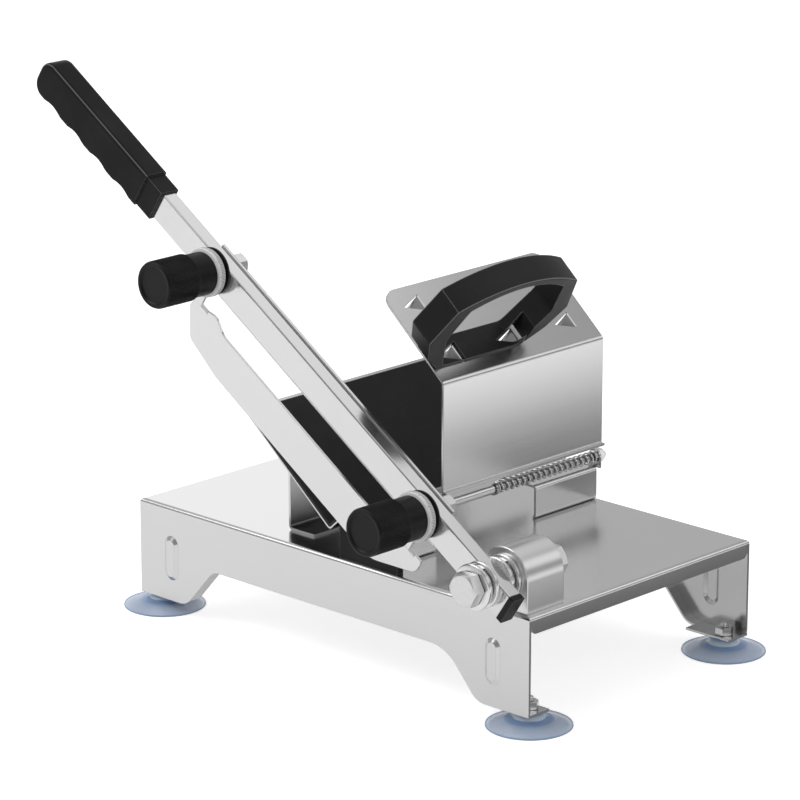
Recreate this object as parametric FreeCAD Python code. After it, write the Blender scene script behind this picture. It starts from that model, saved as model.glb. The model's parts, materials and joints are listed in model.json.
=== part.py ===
import FreeCAD, Part
import math
import os
from FreeCAD import Vector

# Hand-operated frozen meat slicer. Millimetres, +Z up, the long front edge along X,
# the blade side towards -Y. Heights are from the surface that the suction cups stand on.

# Place of the table's middle, so that the origin lies under the middle of the whole slicer
table_middle_x = 25.73
table_middle_y = 25.0

# Base table, one sheet folded down on all four sides
table_length = 330.0
table_width = 200.0
table_height = 71.0
table_sheet = 1.5
table_fold_radius = 2.5
foot_height = 9.2
foot_length = 41.0
foot_corner_radius = 3.0
toe_radius = 14.0
arch_height = 37.0
arch_inset = 66.0
arch_radius_left = 11.0
arch_radius_right = 29.0
return_depth = 9.0
foot_flange_depth = 18.0
lip_depth = 11.0
lip_corner_radius = 4.0
corner_slit = 0.6
emboss_inset = 28.4
emboss_z = 37.5
emboss_width = 7.0
emboss_length = 24.0
emboss_slope = 2.5
emboss_height = 1.5

# Suction cups and their studs
cup_inset_x = 9.5
cup_inset_y = 11.0
cup_radius = 26.0
cup_rim_width = 2.5
cup_rim_height = 1.0
cup_ring_radius = 14.5
cup_ring_height = 4.2
cup_hub_radius = 8.2
cup_hollow_height = 2.6
cup_shoulder = 1.2
cup_shoulder_height = 2.8
stud_radius = 3.0
stud_head_radius = 5.0
stud_head_height = 1.2
stud_head_z = 4.4
stud_proud = 2.5
small_nut_flats = 10.0
small_nut_height = 5.0
hole_clearance = 0.2
hex_flat_share = 0.94
hex_chamfer = 30.0

# Pivot: bracket block, bolt and washers along Y
pivot_inset = 22.6
pivot_rise = 19.3
bracket_radius = 18.0
bracket_inset = 3.0
bracket_length = 32.0
bracket_edge = 0.8
bolt_radius = 6.0
running_fit = 0.05
head_flats = 19.0
head_height = 8.0
big_nut_height = 10.0
bolt_proud = 2.5
washer_radius = 14.0
washer_thickness = 2.5
spring_washer_radius = 12.2
spring_washer_height = 4.0
spring_washer_slit = 1.6
spring_washer_skew = 35.0
spring_washer_turn = 40.0

# Arm: square tube with end plug and grip, drawn along -X from the pivot and then tilted
arm_tilt = 33.57
arm_thickness = 10.0
arm_height = 18.6
arm_wall = 1.5
arm_corner_radius = 1.0
arm_tail = 19.1
plug_flange = 4.0
plug_length = 9.0
bush_radius = 7.6

# Grip
grip_start = 337.6
grip_length = 108.9
grip_thickness = 17.0
grip_height = 24.6
grip_end_radius = 9.0
grip_edge = 2.5
collar_length = 14.5
collar_thickness = 14.6
collar_height = 21.6
socket_depth = 85.0
groove_pitch = 24.4
groove_first = 9.5
groove_depth = 3.0
groove_radius = 19.0
groove_count = 4
groove_overrun = 1.0

# Blade
blade_thickness = 2.0
blade_near_overhang = 11.5
blade_far_overhang = 9.5
blade_top = 10.3
blade_edge = 20.3
blade_bevel = 4.0
blade_edge_thickness = 0.4

# Knob bolts and knobs
knob_near_distance = 57.2
knob_far_distance = 265.2
knob_bolt_radius = 3.0
knob_bolt_reach = 36.0
knob_bolt_flats = 12.0
knob_bolt_head = 11.5
knob_radius = 14.5
knob_reach = 49.0
knob_grip_length = 26.0
knob_collar_radius = 13.3
knob_rim = 2.6
knob_recess = 0.8
knob_edge = 1.0
knob_bore_depth = 40.0
dial_radius = 15.0
dial_length = 5.0
dial_hub_radius = 9.0
dial_edge = 0.5
dial_gap = 0.3
insert_radius = 5.5
insert_neck_radius = 4.2
insert_flange_radius = 5.6
insert_flange = 0.8
insert_floor = 1.0
pad_radius = 14.5
pad_bore_radius = 6.2
pad_thickness = 0.7

# Thickness gauge: sheet below the arm, held by two joggled tabs
gauge_sheet = 1.5
slice_thickness = 2.0
tab_gap = 2.0
gauge_inner = 34.5
gauge_outer = 61.0
gauge_shoulder = 30.8
gauge_crest = 28.6
gauge_far_overhang = 8.2
gauge_far_inset = 3.4
gauge_near_overhang = 12.5
gauge_far_rise = 3.4
gauge_low_rise = 4.9
gauge_far_run = 30.0
gauge_near_run = 32.0
gauge_near_rise = 5.5
gauge_notch = 3.0
gauge_corner_radius = 2.0
gauge_toe_radius = 6.0
gauge_far_radius = 20.0
gauge_near_radius = 26.0
gauge_hook_radius = 8.0
gauge_crest_radius = 6.0
gauge_valley_radius = 12.0
tab_half_width = 6.2
tab_eye_radius = 9.5
tab_bend_low = 32.3
tab_bend_high = 23.3
tab_bend_radius = 2.0
crest_reach = 7.0
crest_run = 18.0
tab_root = 6.0

# Feed trough: V of sheet with a plastic liner
trough_inset = 3.0
trough_rise = 15.5
trough_left_slope = 39.5
trough_left_width = 95.0
trough_lip_slope = 42.0
trough_lip_width = 12.0
trough_sheet = 1.0
trough_bend_radius = 2.5
liner_thickness = 1.5
liner_margin = 2.5
stand_x = 52.0
stand_foot = 22.0
stand_flange = 18.0
stand_inset = 17.0
stand_sheet = 1.5
stand_bend_radius = 1.5

# Front board beside the mouth of the trough
board_left = 8.6
board_length = 48.0
board_thickness = 5.0
board_height = 21.5
board_screw_inset = 8.0
board_screw_radius = 1.9
board_screw_length = 12.0
board_screw_head_radius = 2.9
board_screw_head = 2.0

# Guide rod and the two brackets that hold it
rod_x = 40.0
rod_rise = 27.0
rod_radius = 2.5
rod_proud = 2.0
rod_nut_flats = 8.0
rod_nut_height = 4.7
rod_bracket_reach = 4.0
rod_bracket_height = 21.6
rod_bracket_foot = 12.0
rod_bracket_foot_setback = 13.0
rod_bracket_sheet = 1.5
rod_bracket_bend = 2.5
front_lug_inset = 50.0
front_lug_radius = 7.0
rear_bracket_length = 57.0
rear_bracket_inset = 3.5
rear_lug_inset = 1.5
rear_lug_radius = 4.7
lip_gap = 0.2

# Return spring round the guide rod
spring_radius = 3.4
spring_wire = 1.1
spring_turns = 20
spring_seat_gap = 0.05
spring_end_bend = 1.6

# Press cover: wall, sloping plate, punched teeth and knuckle
cover_reach = 3.0
cover_rise = 34.5
cover_wall_height = 70.0
cover_slope = 41.5
cover_plate_width = 70.0
cover_setback = 7.0
cover_overhang = 2.0
cover_sheet = 1.5
cover_fold_radius = 4.0
cover_lip = 2.5
cover_lip_bend = 0.8
cover_corner_radius = 11.0
tooth_length = 16.3
tooth_half_width = 6.0
tooth_bend = 42.0
tooth_fold_radius = 2.2
tooth_root = 1.5
tooth_relief = 0.3
tooth_first = 9.7
tooth_rear_margin = 30.9
tooth_rows = (17.4, 56.3)
tooth_columns = 3
knuckle_reach = 54.0
knuckle_wall = 0.7
knuckle_gap = 0.3
knuckle_strap = 14.0
knuckle_strap_inset = 2.0
slide_washer_gap = 1.2
slide_washer_thickness = 1.5

# Cover handle: closed loop on the sloping plate
loop_setback = 39.3
loop_start = 10.5
loop_width = 19.0
loop_lean = 4.5
loop_foot_half = 37.6
loop_low_half = 52.0
loop_low_height = 12.0
loop_widest_half = 61.3
loop_widest_height = 28.5
loop_shoulder_half = 52.8
loop_shoulder_height = 54.4
loop_top = 66.4
loop_strap = 4.0
loop_side = 14.5
loop_floor = 1.6
loop_inner_foot_half = 33.0
loop_shoulder_side = 11.6
loop_shoulder_drop = 2.0
loop_foot_radius = 3.0
loop_low_radius = 8.0
loop_widest_radius = 3.0
loop_inner_foot_radius = 5.0
loop_inner_radius = 8.0
loop_edge = 0.9
window_margin = 1.2
loop_screw_spread = 11.5
loop_screw_shift = 4.0
loop_screw_radius = 1.9
loop_screw_head_radius = 4.0
loop_screw_head = 2.0
loop_screw_bite = 1.2

X_AXIS = Vector(1, 0, 0)
Y_AXIS = Vector(0, 1, 0)
Z_AXIS = Vector(0, 0, 1)
ORIGIN = Vector(0, 0, 0)

# Places that follow from the sizes above
foot_toe = table_length / 2 - foot_length
arch_end = table_length / 2 - arch_inset
emboss_x = table_length / 2 - emboss_inset
pivot_x = table_length / 2 - pivot_inset
pivot_z = table_height + pivot_rise
bracket_front_y = bracket_inset - table_width / 2
arm_front_y = bracket_front_y - 2 * washer_thickness - spring_washer_height - arm_thickness
arm_back_y = arm_front_y + arm_thickness
blade_back_y = arm_back_y + blade_thickness
tab_back_y = arm_front_y - tab_gap
tab_front_y = tab_back_y - gauge_sheet
gauge_back_y = arm_back_y - slice_thickness
gauge_front_y = gauge_back_y - gauge_sheet
dial_back_y = tab_front_y - dial_gap
dial_front_y = dial_back_y - dial_length
knob_front_y = arm_front_y - knob_reach
knob_bolt_end_y = arm_front_y - knob_bolt_reach
blade_start = knob_near_distance - blade_near_overhang
blade_length = knob_far_distance + blade_far_overhang - blade_start
gauge_near_end = knob_near_distance - gauge_near_overhang
gauge_far_end = knob_far_distance + gauge_far_overhang
gauge_far_low = knob_far_distance - gauge_far_inset
trough_length = table_width - 2 * trough_inset
trough_front_y = -trough_length / 2
trough_bottom_z = table_height + trough_rise
stand_length = trough_length - 2 * stand_inset
rod_z = table_height + rod_rise
rod_bracket_face_x = rod_x + rod_bracket_reach
rod_bracket_top_z = table_height + rod_bracket_height
front_lug_y = front_lug_inset - table_width / 2
rear_lug_y = table_width / 2 - rear_lug_inset
rear_bracket_end = table_width / 2 - rear_bracket_inset
rear_bracket_start = rear_bracket_end - rear_bracket_length
cover_face_x = rod_x + cover_reach
cover_bottom_z = table_height + cover_rise
cover_front_y = front_lug_y + cover_setback
cover_back_y = table_width / 2 + cover_overhang
cover_length = cover_back_y - cover_front_y
tooth_pitch = (cover_length - tooth_first - tooth_rear_margin) / (tooth_columns - 1)
knuckle_end_y = front_lug_y + knuckle_reach
slide_washer_radius = rod_z - rod_bracket_top_z - slide_washer_gap
slide_washer_back_y = knuckle_end_y + slide_washer_thickness
loop_middle_y = cover_front_y + loop_setback
slope = math.radians(cover_slope)
up_plate = Vector(-math.cos(slope), 0, math.sin(slope))
off_plate = Vector(math.sin(slope), 0, math.cos(slope))
plate_fold = Vector(cover_face_x, 0, cover_bottom_z + cover_wall_height)


def rounded_wire(points, radii):
    """Closed outline of straight runs, each corner rounded by a tangent arc of its radius."""
    count = len(points)
    starts = []
    ends = []
    arcs = []
    for index in range(count):
        point = points[index]
        radius = radii[index]
        if radius <= 0:
            starts.append(point)
            ends.append(point)
            arcs.append(None)
            continue
        before = (points[index - 1] - point).normalize()
        after = (points[(index + 1) % count] - point).normalize()
        half = before.getAngle(after) / 2
        reach = radius / math.tan(half)
        middle = point + (before + after).normalize() * (radius / math.sin(half) - radius)
        starts.append(point + before * reach)
        ends.append(point + after * reach)
        arcs.append(Part.Arc(starts[-1], middle, ends[-1]).toShape())
    edges = []
    for index in range(count):
        if arcs[index]:
            edges.append(arcs[index])
        following = starts[(index + 1) % count]
        if ends[index].distanceToPoint(following) > 1e-6:
            edges.append(Part.LineSegment(ends[index], following).toShape())
    return Part.Wire(edges)


def rounded_plate(points, radii, depth):
    """Solid of a rounded outline pulled out along the vector depth."""
    return Part.Face(rounded_wire(points, radii)).extrude(depth)


def offset_path(points, distance, normal):
    """The open path moved sideways, to its left as seen against the normal."""
    sides = []
    for first, second in zip(points, points[1:]):
        sides.append(normal.cross((second - first).normalize()))
    moved = [points[0] + sides[0] * distance]
    for index in range(1, len(points) - 1):
        before = sides[index - 1]
        after = sides[index]
        moved.append(points[index] + (before + after) * (distance / (1 + before.dot(after))))
    moved.append(points[-1] + sides[-1] * distance)
    return moved


def bent_sheet(points, radii, thickness, normal, depth):
    """Bent sheet: the path is one face, the sheet lies on its left, radii are that face's."""
    other_face = offset_path(points, thickness, normal)
    other_radii = [0.0]
    for index in range(1, len(points) - 1):
        run_in = points[index] - points[index - 1]
        run_out = points[index + 1] - points[index]
        turns_left = normal.dot(run_in.cross(run_out)) > 0
        change = -thickness if turns_left else thickness
        other_radii.append(max(radii[index] + change, 0.0) if radii[index] else 0.0)
    other_radii.append(0.0)
    outline = list(points) + other_face[::-1]
    return rounded_plate(outline, list(radii) + other_radii[::-1], depth)


def cylinder(radius, start, length, direction=Z_AXIS):
    return Part.makeCylinder(radius, length, start, direction)


def ring(radius, bore, start, length, direction=Z_AXIS):
    return cylinder(radius, start, length, direction).cut(cylinder(bore, start, length, direction))


def hexagon(flats, start, length, direction=Z_AXIS, bore=0.0):
    """Hexagonal head or nut with both ends chamfered, standing on start along direction."""
    corner = flats / math.sqrt(3)
    points = []
    for index in range(6):
        angle = math.radians(60 * index)
        points.append(Vector(corner * math.cos(angle), corner * math.sin(angle), 0))
    body = Part.Face(Part.makePolygon(points + [points[0]])).extrude(Z_AXIS * length)
    flat = flats / 2 * hex_flat_share
    drop = (corner - flat) * math.tan(math.radians(hex_chamfer))
    profile = [
        Vector(0, 0, 0), Vector(flat, 0, 0), Vector(corner, 0, drop),
        Vector(corner, 0, length - drop), Vector(flat, 0, length), Vector(0, 0, length),
    ]
    body = body.common(Part.Face(Part.makePolygon(profile + [profile[0]])).revolve(ORIGIN, Z_AXIS, 360))
    if bore:
        body = body.cut(cylinder(bore, ORIGIN, length))
    body.Placement = FreeCAD.Placement(start, FreeCAD.Rotation(Z_AXIS, direction))
    return body


def turned(profile, axis_point, axis):
    """Body of revolution: profile holds (radius, distance along the axis) pairs."""
    side = X_AXIS
    points = [axis_point + side * radius + axis * along for radius, along in profile]
    return Part.Face(Part.makePolygon(points + [points[0]])).revolve(axis_point, axis, 360)


def single(shape):
    """The one solid inside a boolean result."""
    shape = shape.removeSplitter()
    if len(shape.Solids) != 1:
        raise ValueError("expected one solid, found %d" % len(shape.Solids))
    return shape.Solids[0]


# Base table

def table_block(inset):
    """Box of the table's outer or inner faces, its top edges rounded as folds."""
    half_x = table_length / 2 - inset
    half_y = table_width / 2 - inset
    top = table_height - inset
    low = foot_height - inset
    radius = table_fold_radius - inset
    blocks = []
    for half, across, depth in ((half_x, X_AXIS, Y_AXIS * half_y), (half_y, Y_AXIS, X_AXIS * half_x)):
        points = [across * -half + Z_AXIS * low, across * -half + Z_AXIS * top,
                  across * half + Z_AXIS * top, across * half + Z_AXIS * low]
        points = [point - depth for point in points]
        blocks.append(rounded_plate(points, [0, radius, radius, 0], depth * 2))
    return blocks[0].common(blocks[1])


def apron_path(start_y):
    """Lower edge of the front and rear walls, from the left foot to the right foot."""
    return [
        Vector(-table_length / 2, start_y, foot_height),
        Vector(-foot_toe, start_y, foot_height),
        Vector(-arch_end, start_y, arch_height),
        Vector(arch_end, start_y, arch_height),
        Vector(foot_toe, start_y, foot_height),
        Vector(table_length / 2, start_y, foot_height),
    ]


apron_radii = [0, toe_radius, arch_radius_left, arch_radius_right, toe_radius, 0]


def table_outline():
    """Prism of the front view: both feet and the arch between them."""
    start_y = -table_width
    path = apron_path(start_y)
    corners = [Vector(table_length / 2, start_y, 2 * table_height),
               Vector(-table_length / 2, start_y, 2 * table_height)]
    radii = [foot_corner_radius] + apron_radii[1:-1] + [foot_corner_radius, 0, 0]
    return rounded_plate(path + corners, radii, Y_AXIS * 2 * table_width)


def side_window(side):
    """What is cut from an end wall, leaving the short folded lip."""
    face_x = side * table_length / 2
    inner_x = face_x - side * table_sheet
    half = table_width / 2 - table_sheet
    low = Vector(min(face_x, inner_x), -half, 0)
    block = Part.makeBox(table_sheet, 2 * half, table_height - table_fold_radius, low)
    lip_half = half - corner_slit
    lip_low = table_height - lip_depth
    corners = [Vector(low.x, -lip_half, lip_low), Vector(low.x, lip_half, lip_low),
               Vector(low.x, lip_half, table_height), Vector(low.x, -lip_half, table_height)]
    lip = rounded_plate(corners, [lip_corner_radius, lip_corner_radius, 0, 0], X_AXIS * table_sheet)
    return block.cut(lip)


def obround(middle, width, length):
    """Upright slot outline with round ends, facing along Y."""
    half = width / 2
    rise = (length - width) / 2
    points = [
        middle + Vector(-half, 0, -rise - half), middle + Vector(half, 0, -rise - half),
        middle + Vector(half, 0, rise + half), middle + Vector(-half, 0, rise + half),
    ]
    return rounded_wire(points, [half] * 4)


def emboss(x, face_y, outward):
    """Pressed slot: a low plateau with sloping sides, standing out of a wall."""
    base = obround(Vector(x, face_y, emboss_z), emboss_width + 2 * emboss_slope,
                   emboss_length + 2 * emboss_slope)
    top = obround(Vector(x, face_y + outward * emboss_height, emboss_z), emboss_width, emboss_length)
    return Part.makeLoft([base, top], True, True)


def foot_places():
    places = []
    for side_x in (-1, 1):
        for side_y in (-1, 1):
            places.append(Vector(side_x * (table_length / 2 - cup_inset_x),
                                 side_y * (table_width / 2 - cup_inset_y), 0))
    return places


def base_table():
    shell = table_block(0).cut(table_block(table_sheet)).common(table_outline())
    for side in (-1, 1):
        shell = shell.cut(side_window(side))
    for side in (-1, 1):
        outer_y = side * table_width / 2
        start_y = min(outer_y, outer_y - side * return_depth)
        shell = shell.fuse(bent_sheet(apron_path(start_y), apron_radii, table_sheet, Y_AXIS * -1,
                                      Y_AXIS * return_depth))
        foot_y = min(outer_y, outer_y - side * foot_flange_depth)
        for end in (-1, 1):
            inner = end * (foot_toe + toe_radius / 2)
            low_x = min(inner, end * table_length / 2)
            width = table_length / 2 - foot_toe - toe_radius / 2
            shell = shell.fuse(Part.makeBox(width, foot_flange_depth, table_sheet,
                                            Vector(low_x, foot_y, foot_height)))
            shell = shell.fuse(emboss(end * emboss_x, outer_y, side))
            shell = shell.cut(emboss(end * emboss_x, outer_y - side * table_sheet, side))
    for place in foot_places():
        shell = shell.cut(cylinder(stud_radius + hole_clearance, place, arch_height))
    for screw_x in board_screw_places():
        shell = shell.cut(cylinder(board_screw_radius, Vector(screw_x, board_middle_y(), arch_height),
                                   table_height))
    return single(shell)


# Feet

def suction_cup(place):
    profile = [
        (0, cup_hollow_height), (cup_ring_radius, cup_hollow_height),
        (cup_radius - cup_rim_width, 0), (cup_radius, 0), (cup_radius, cup_rim_height),
        (cup_ring_radius, cup_ring_height),
        (cup_hub_radius + cup_shoulder, cup_ring_height + cup_shoulder),
        (cup_hub_radius, cup_ring_height + cup_shoulder_height), (cup_hub_radius, foot_height),
        (0, foot_height),
    ]
    return single(turned(profile, place, Z_AXIS).cut(cup_stud(place)))


def cup_stud(place):
    top = foot_height + table_sheet + small_nut_height + stud_proud
    shank = cylinder(stud_radius, place + Z_AXIS * stud_head_z, top - stud_head_z)
    head = cylinder(stud_head_radius, place + Z_AXIS * stud_head_z, stud_head_height)
    return single(shank.fuse(head))


def cup_nut(place):
    return hexagon(small_nut_flats, place + Z_AXIS * (foot_height + table_sheet), small_nut_height,
                   bore=stud_radius)


# Pivot

def on_pivot(y):
    return Vector(pivot_x, y, pivot_z)


def pivot_bracket():
    y = bracket_front_y
    points = [Vector(pivot_x - bracket_radius, y, table_height),
              Vector(pivot_x + bracket_radius, y, table_height),
              Vector(pivot_x + bracket_radius, y, pivot_z + bracket_radius),
              Vector(pivot_x - bracket_radius, y, pivot_z + bracket_radius)]
    block = rounded_plate(points, [0, 0, bracket_radius, bracket_radius], Y_AXIS * bracket_length)
    rims = []
    for edge in block.Edges:
        middle = edge.valueAt((edge.FirstParameter + edge.LastParameter) / 2)
        across = edge.BoundBox.YLength < 1e-3
        if across and middle.z > table_height + bracket_edge:
            rims.append(edge)
    block = block.makeFillet(bracket_edge, rims)
    bore = cylinder(bolt_radius + hole_clearance, on_pivot(y), bracket_length, Y_AXIS)
    return single(block.cut(bore))


def pivot_stack():
    """Flat washers and spring washers: front edge of each along Y."""
    in_front = arm_front_y - washer_thickness
    behind = bracket_front_y - washer_thickness
    flats = [in_front - spring_washer_height - washer_thickness, in_front, arm_back_y, behind,
             bracket_front_y + bracket_length]
    springs = [in_front - spring_washer_height, behind - spring_washer_height]
    return flats, springs


def pivot_flat_washers():
    flats = pivot_stack()[0]
    bore = bolt_radius + hole_clearance
    return [ring(washer_radius, bore, on_pivot(y), washer_thickness, Y_AXIS) for y in flats]


def pivot_spring_washers():
    washers = []
    bore = bolt_radius + hole_clearance
    for y in pivot_stack()[1]:
        washer = ring(spring_washer_radius, bore, on_pivot(y), spring_washer_height, Y_AXIS)
        slit = Part.makeBox(spring_washer_slit, 3 * spring_washer_height, spring_washer_radius,
                            Vector(-spring_washer_slit / 2, -spring_washer_height, 0))
        slit.rotate(ORIGIN, Z_AXIS, spring_washer_skew)
        slit.rotate(ORIGIN, Y_AXIS, spring_washer_turn)
        slit.translate(on_pivot(y))
        washers.append(single(washer.cut(slit)))
    return washers


def pivot_bolt():
    head_y = pivot_stack()[0][0] - head_height
    end_y = bracket_front_y + bracket_length + washer_thickness + big_nut_height + bolt_proud
    head = hexagon(head_flats, on_pivot(head_y), head_height, Y_AXIS)
    shank = cylinder(bolt_radius, on_pivot(head_y), end_y - head_y, Y_AXIS)
    return single(head.fuse(shank))


def pivot_nut():
    nut_y = bracket_front_y + bracket_length + washer_thickness
    return hexagon(head_flats, on_pivot(nut_y), big_nut_height, Y_AXIS, bolt_radius)


# Arm pieces are drawn with the pivot at the origin, the grip towards -X, and tilted last

def on_arm(along, y, height=0.0):
    return Vector(-along, y, height)


def tilt(shape):
    shape.rotate(ORIGIN, Y_AXIS, arm_tilt)
    shape.translate(Vector(pivot_x, 0, pivot_z))
    return shape


def arm_block(start, end, thickness, height, radius):
    """Bar with rounded long edges, centred on the arm, from start to end along the arm."""
    middle_y = arm_front_y + arm_thickness / 2
    corners = []
    for side_y, side_z in ((-1, -1), (1, -1), (1, 1), (-1, 1)):
        corners.append(on_arm(end, middle_y + side_y * thickness / 2, side_z * height / 2))
    return rounded_plate(corners, [radius] * 4, X_AXIS * (end - start))


def arm_tube():
    start = -arm_tail
    end = grip_start - collar_length + socket_depth
    outer = arm_block(start, end, arm_thickness, arm_height, arm_corner_radius)
    inner = arm_block(start, end, arm_thickness - 2 * arm_wall, arm_height - 2 * arm_wall, 0)
    tube = outer.cut(inner)
    tube = tube.cut(cylinder(bolt_radius + running_fit, on_arm(0, arm_front_y), arm_thickness, Y_AXIS))
    for along in (knob_near_distance, knob_far_distance):
        tube = tube.cut(cylinder(knob_bolt_radius + running_fit, on_arm(along, arm_front_y),
                                 arm_thickness, Y_AXIS))
    return tilt(single(tube))


def pivot_bush():
    start = on_arm(0, arm_front_y + arm_wall)
    return tilt(ring(bush_radius, bolt_radius + running_fit, start, arm_thickness - 2 * arm_wall, Y_AXIS))


def arm_end_plug():
    flange = arm_block(-arm_tail - plug_flange, -arm_tail, arm_thickness, arm_height, arm_corner_radius)
    body = arm_block(-arm_tail, plug_length - arm_tail, arm_thickness - 2 * arm_wall,
                     arm_height - 2 * arm_wall, 0)
    return tilt(single(flange.fuse(body)))


def arm_handle():
    end = grip_start + grip_length
    middle_y = arm_front_y + arm_thickness / 2
    half = grip_height / 2
    front = middle_y - grip_thickness / 2
    points = [on_arm(grip_start, front, -half), on_arm(end, front, -half),
              on_arm(end, front, half), on_arm(grip_start, front, half)]
    grip = rounded_plate(points, [0, grip_end_radius, grip_end_radius, 0], Y_AXIS * grip_thickness)
    long_edges = []
    for edge in grip.Edges:
        middle = edge.valueAt((edge.FirstParameter + edge.LastParameter) / 2)
        if edge.BoundBox.YLength < 1e-3 and middle.x < -grip_start - grip_edge:
            long_edges.append(edge)
    grip = grip.makeFillet(grip_edge, long_edges)
    for index in range(groove_count):
        along = end - groove_first - groove_pitch * (index + 0.5)
        centre = on_arm(along, front - groove_overrun, -half + groove_depth - groove_radius)
        grip = grip.cut(cylinder(groove_radius, centre, grip_thickness + 2 * groove_overrun, Y_AXIS))
    collar = arm_block(grip_start - collar_length, grip_start, collar_thickness, collar_height,
                       arm_corner_radius)
    socket = arm_block(0, grip_start - collar_length + socket_depth, arm_thickness, arm_height,
                       arm_corner_radius)
    return tilt(single(grip.fuse(collar).cut(socket)))


def blade():
    top = blade_top
    low = -blade_edge
    front = arm_back_y
    sharp = blade_back_y - blade_edge_thickness
    profile = [
        on_arm(blade_start, front, top), on_arm(blade_start, blade_back_y, top),
        on_arm(blade_start, blade_back_y, low), on_arm(blade_start, sharp, low),
        on_arm(blade_start, front, low + blade_bevel),
    ]
    body = Part.Face(Part.makePolygon(profile + [profile[0]])).extrude(X_AXIS * -blade_length)
    for along in (knob_near_distance, knob_far_distance):
        body = body.cut(cylinder(knob_bolt_radius + running_fit, on_arm(along, front),
                                 blade_thickness, Y_AXIS))
    return tilt(single(body))


def knob_bolt(along):
    """Bolt with a tall head behind the blade, shank forward through arm, tab and knob."""
    shank = cylinder(knob_bolt_radius, on_arm(along, knob_bolt_end_y), blade_back_y - knob_bolt_end_y,
                     Y_AXIS)
    head = hexagon(knob_bolt_flats, on_arm(along, blade_back_y), knob_bolt_head, Y_AXIS)
    return tilt(single(shank.fuse(head)))


def thickness_gauge():
    y = gauge_front_y
    far_tab = knob_far_distance - tab_half_width
    near_tab = knob_near_distance - tab_half_width
    points = [
        on_arm(gauge_far_end, y, -gauge_inner - gauge_far_rise),
        on_arm(gauge_far_low, y, -gauge_outer + gauge_low_rise),
        on_arm(gauge_far_low - gauge_far_run, y, -gauge_outer),
        on_arm(gauge_near_end + gauge_near_run, y, -gauge_outer),
        on_arm(gauge_near_end, y, -gauge_inner - gauge_near_rise),
        on_arm(gauge_near_end, y, -gauge_shoulder),
        on_arm(near_tab + 2 * tab_half_width, y, -gauge_shoulder),
        on_arm(near_tab + 2 * tab_half_width + gauge_notch, y, -gauge_inner),
        on_arm(far_tab - crest_run, y, -gauge_inner),
        on_arm(far_tab - crest_reach, y, -gauge_crest),
        on_arm(far_tab, y, -gauge_shoulder),
        on_arm(knob_far_distance + tab_half_width, y, -gauge_shoulder),
    ]
    radii = [gauge_corner_radius, gauge_toe_radius, gauge_far_radius, gauge_near_radius,
             gauge_hook_radius, gauge_corner_radius, 0, 0, gauge_valley_radius,
             gauge_crest_radius, 0, gauge_corner_radius]
    plate = rounded_plate(points, radii, Y_AXIS * gauge_sheet)
    for along in (knob_near_distance, knob_far_distance):
        path = [Vector(0, tab_front_y, 0), Vector(0, tab_front_y, -tab_bend_high),
                Vector(0, gauge_front_y, -tab_bend_low), Vector(0, gauge_front_y, -gauge_inner - tab_root)]
        path = [point + on_arm(along + tab_half_width, 0) for point in path]
        strip = bent_sheet(path, [0, tab_bend_radius, tab_bend_radius + gauge_sheet, 0], gauge_sheet,
                           X_AXIS, X_AXIS * 2 * tab_half_width)
        eye = cylinder(tab_eye_radius, on_arm(along, tab_front_y), gauge_sheet, Y_AXIS)
        hole = cylinder(insert_neck_radius + running_fit, on_arm(along, tab_front_y), gauge_sheet,
                        Y_AXIS)
        plate = plate.fuse(strip).fuse(eye).cut(hole)
    return tilt(single(plate))


def knob(along):
    """Knob body: knurled grip, smooth collar and the hub that carries the dial ring."""
    grip_end = knob_grip_length
    dial_start = dial_front_y - knob_front_y
    hub_end = dial_back_y - knob_front_y
    rim = knob_radius - knob_rim
    profile = [
        (0, knob_recess), (rim - knob_recess, knob_recess), (rim, 0), (knob_radius - knob_edge, 0),
        (knob_radius, knob_edge), (knob_radius, grip_end - knob_edge / 2),
        (knob_radius - knob_edge / 2, grip_end), (knob_collar_radius, grip_end),
        (knob_collar_radius, dial_start), (dial_hub_radius, dial_start), (dial_hub_radius, hub_end),
        (0, hub_end),
    ]
    body = turned(profile, on_arm(along, knob_front_y), Y_AXIS)
    bore = cylinder(insert_radius, on_arm(along, dial_back_y - knob_bore_depth), knob_bore_depth, Y_AXIS)
    return tilt(single(body.cut(bore)))


def knob_insert(along):
    """Threaded bush pressed in the knob, its neck riveted over behind the gauge's tab."""
    start = dial_back_y - knob_bore_depth
    body = cylinder(insert_radius, on_arm(along, start), tab_front_y - start, Y_AXIS)
    neck = cylinder(insert_neck_radius, on_arm(along, tab_front_y), gauge_sheet, Y_AXIS)
    flange = cylinder(insert_flange_radius, on_arm(along, tab_back_y), insert_flange, Y_AXIS)
    bore_start = on_arm(along, start + insert_floor)
    bore = cylinder(knob_bolt_radius + running_fit, bore_start, 2 * knob_bore_depth, Y_AXIS)
    return tilt(single(body.fuse(neck).fuse(flange).cut(bore)))


def knob_pad(along):
    """Thin washer on the arm's face that keeps the gauge's tab from scoring it."""
    return tilt(ring(pad_radius, pad_bore_radius, on_arm(along, arm_front_y - pad_thickness),
                     pad_thickness, Y_AXIS))


def dial_ring(along):
    profile = [
        (dial_hub_radius, 0), (dial_radius - dial_edge, 0), (dial_radius, dial_edge),
        (dial_radius, dial_length - dial_edge), (dial_radius - dial_edge, dial_length),
        (dial_hub_radius, dial_length),
    ]
    return tilt(single(turned(profile, on_arm(along, dial_front_y), Y_AXIS)))


# Feed trough

def trough_path():
    """Underside of the trough, from the top of the long wall to the top of the short lip."""
    left = math.radians(trough_left_slope)
    lip = math.radians(trough_lip_slope)
    bottom = Vector(0, trough_front_y, trough_bottom_z)
    return [
        bottom + Vector(-math.cos(left), 0, math.sin(left)) * trough_left_width,
        bottom,
        bottom + Vector(math.cos(lip), 0, math.sin(lip)) * trough_lip_width,
    ]


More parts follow.
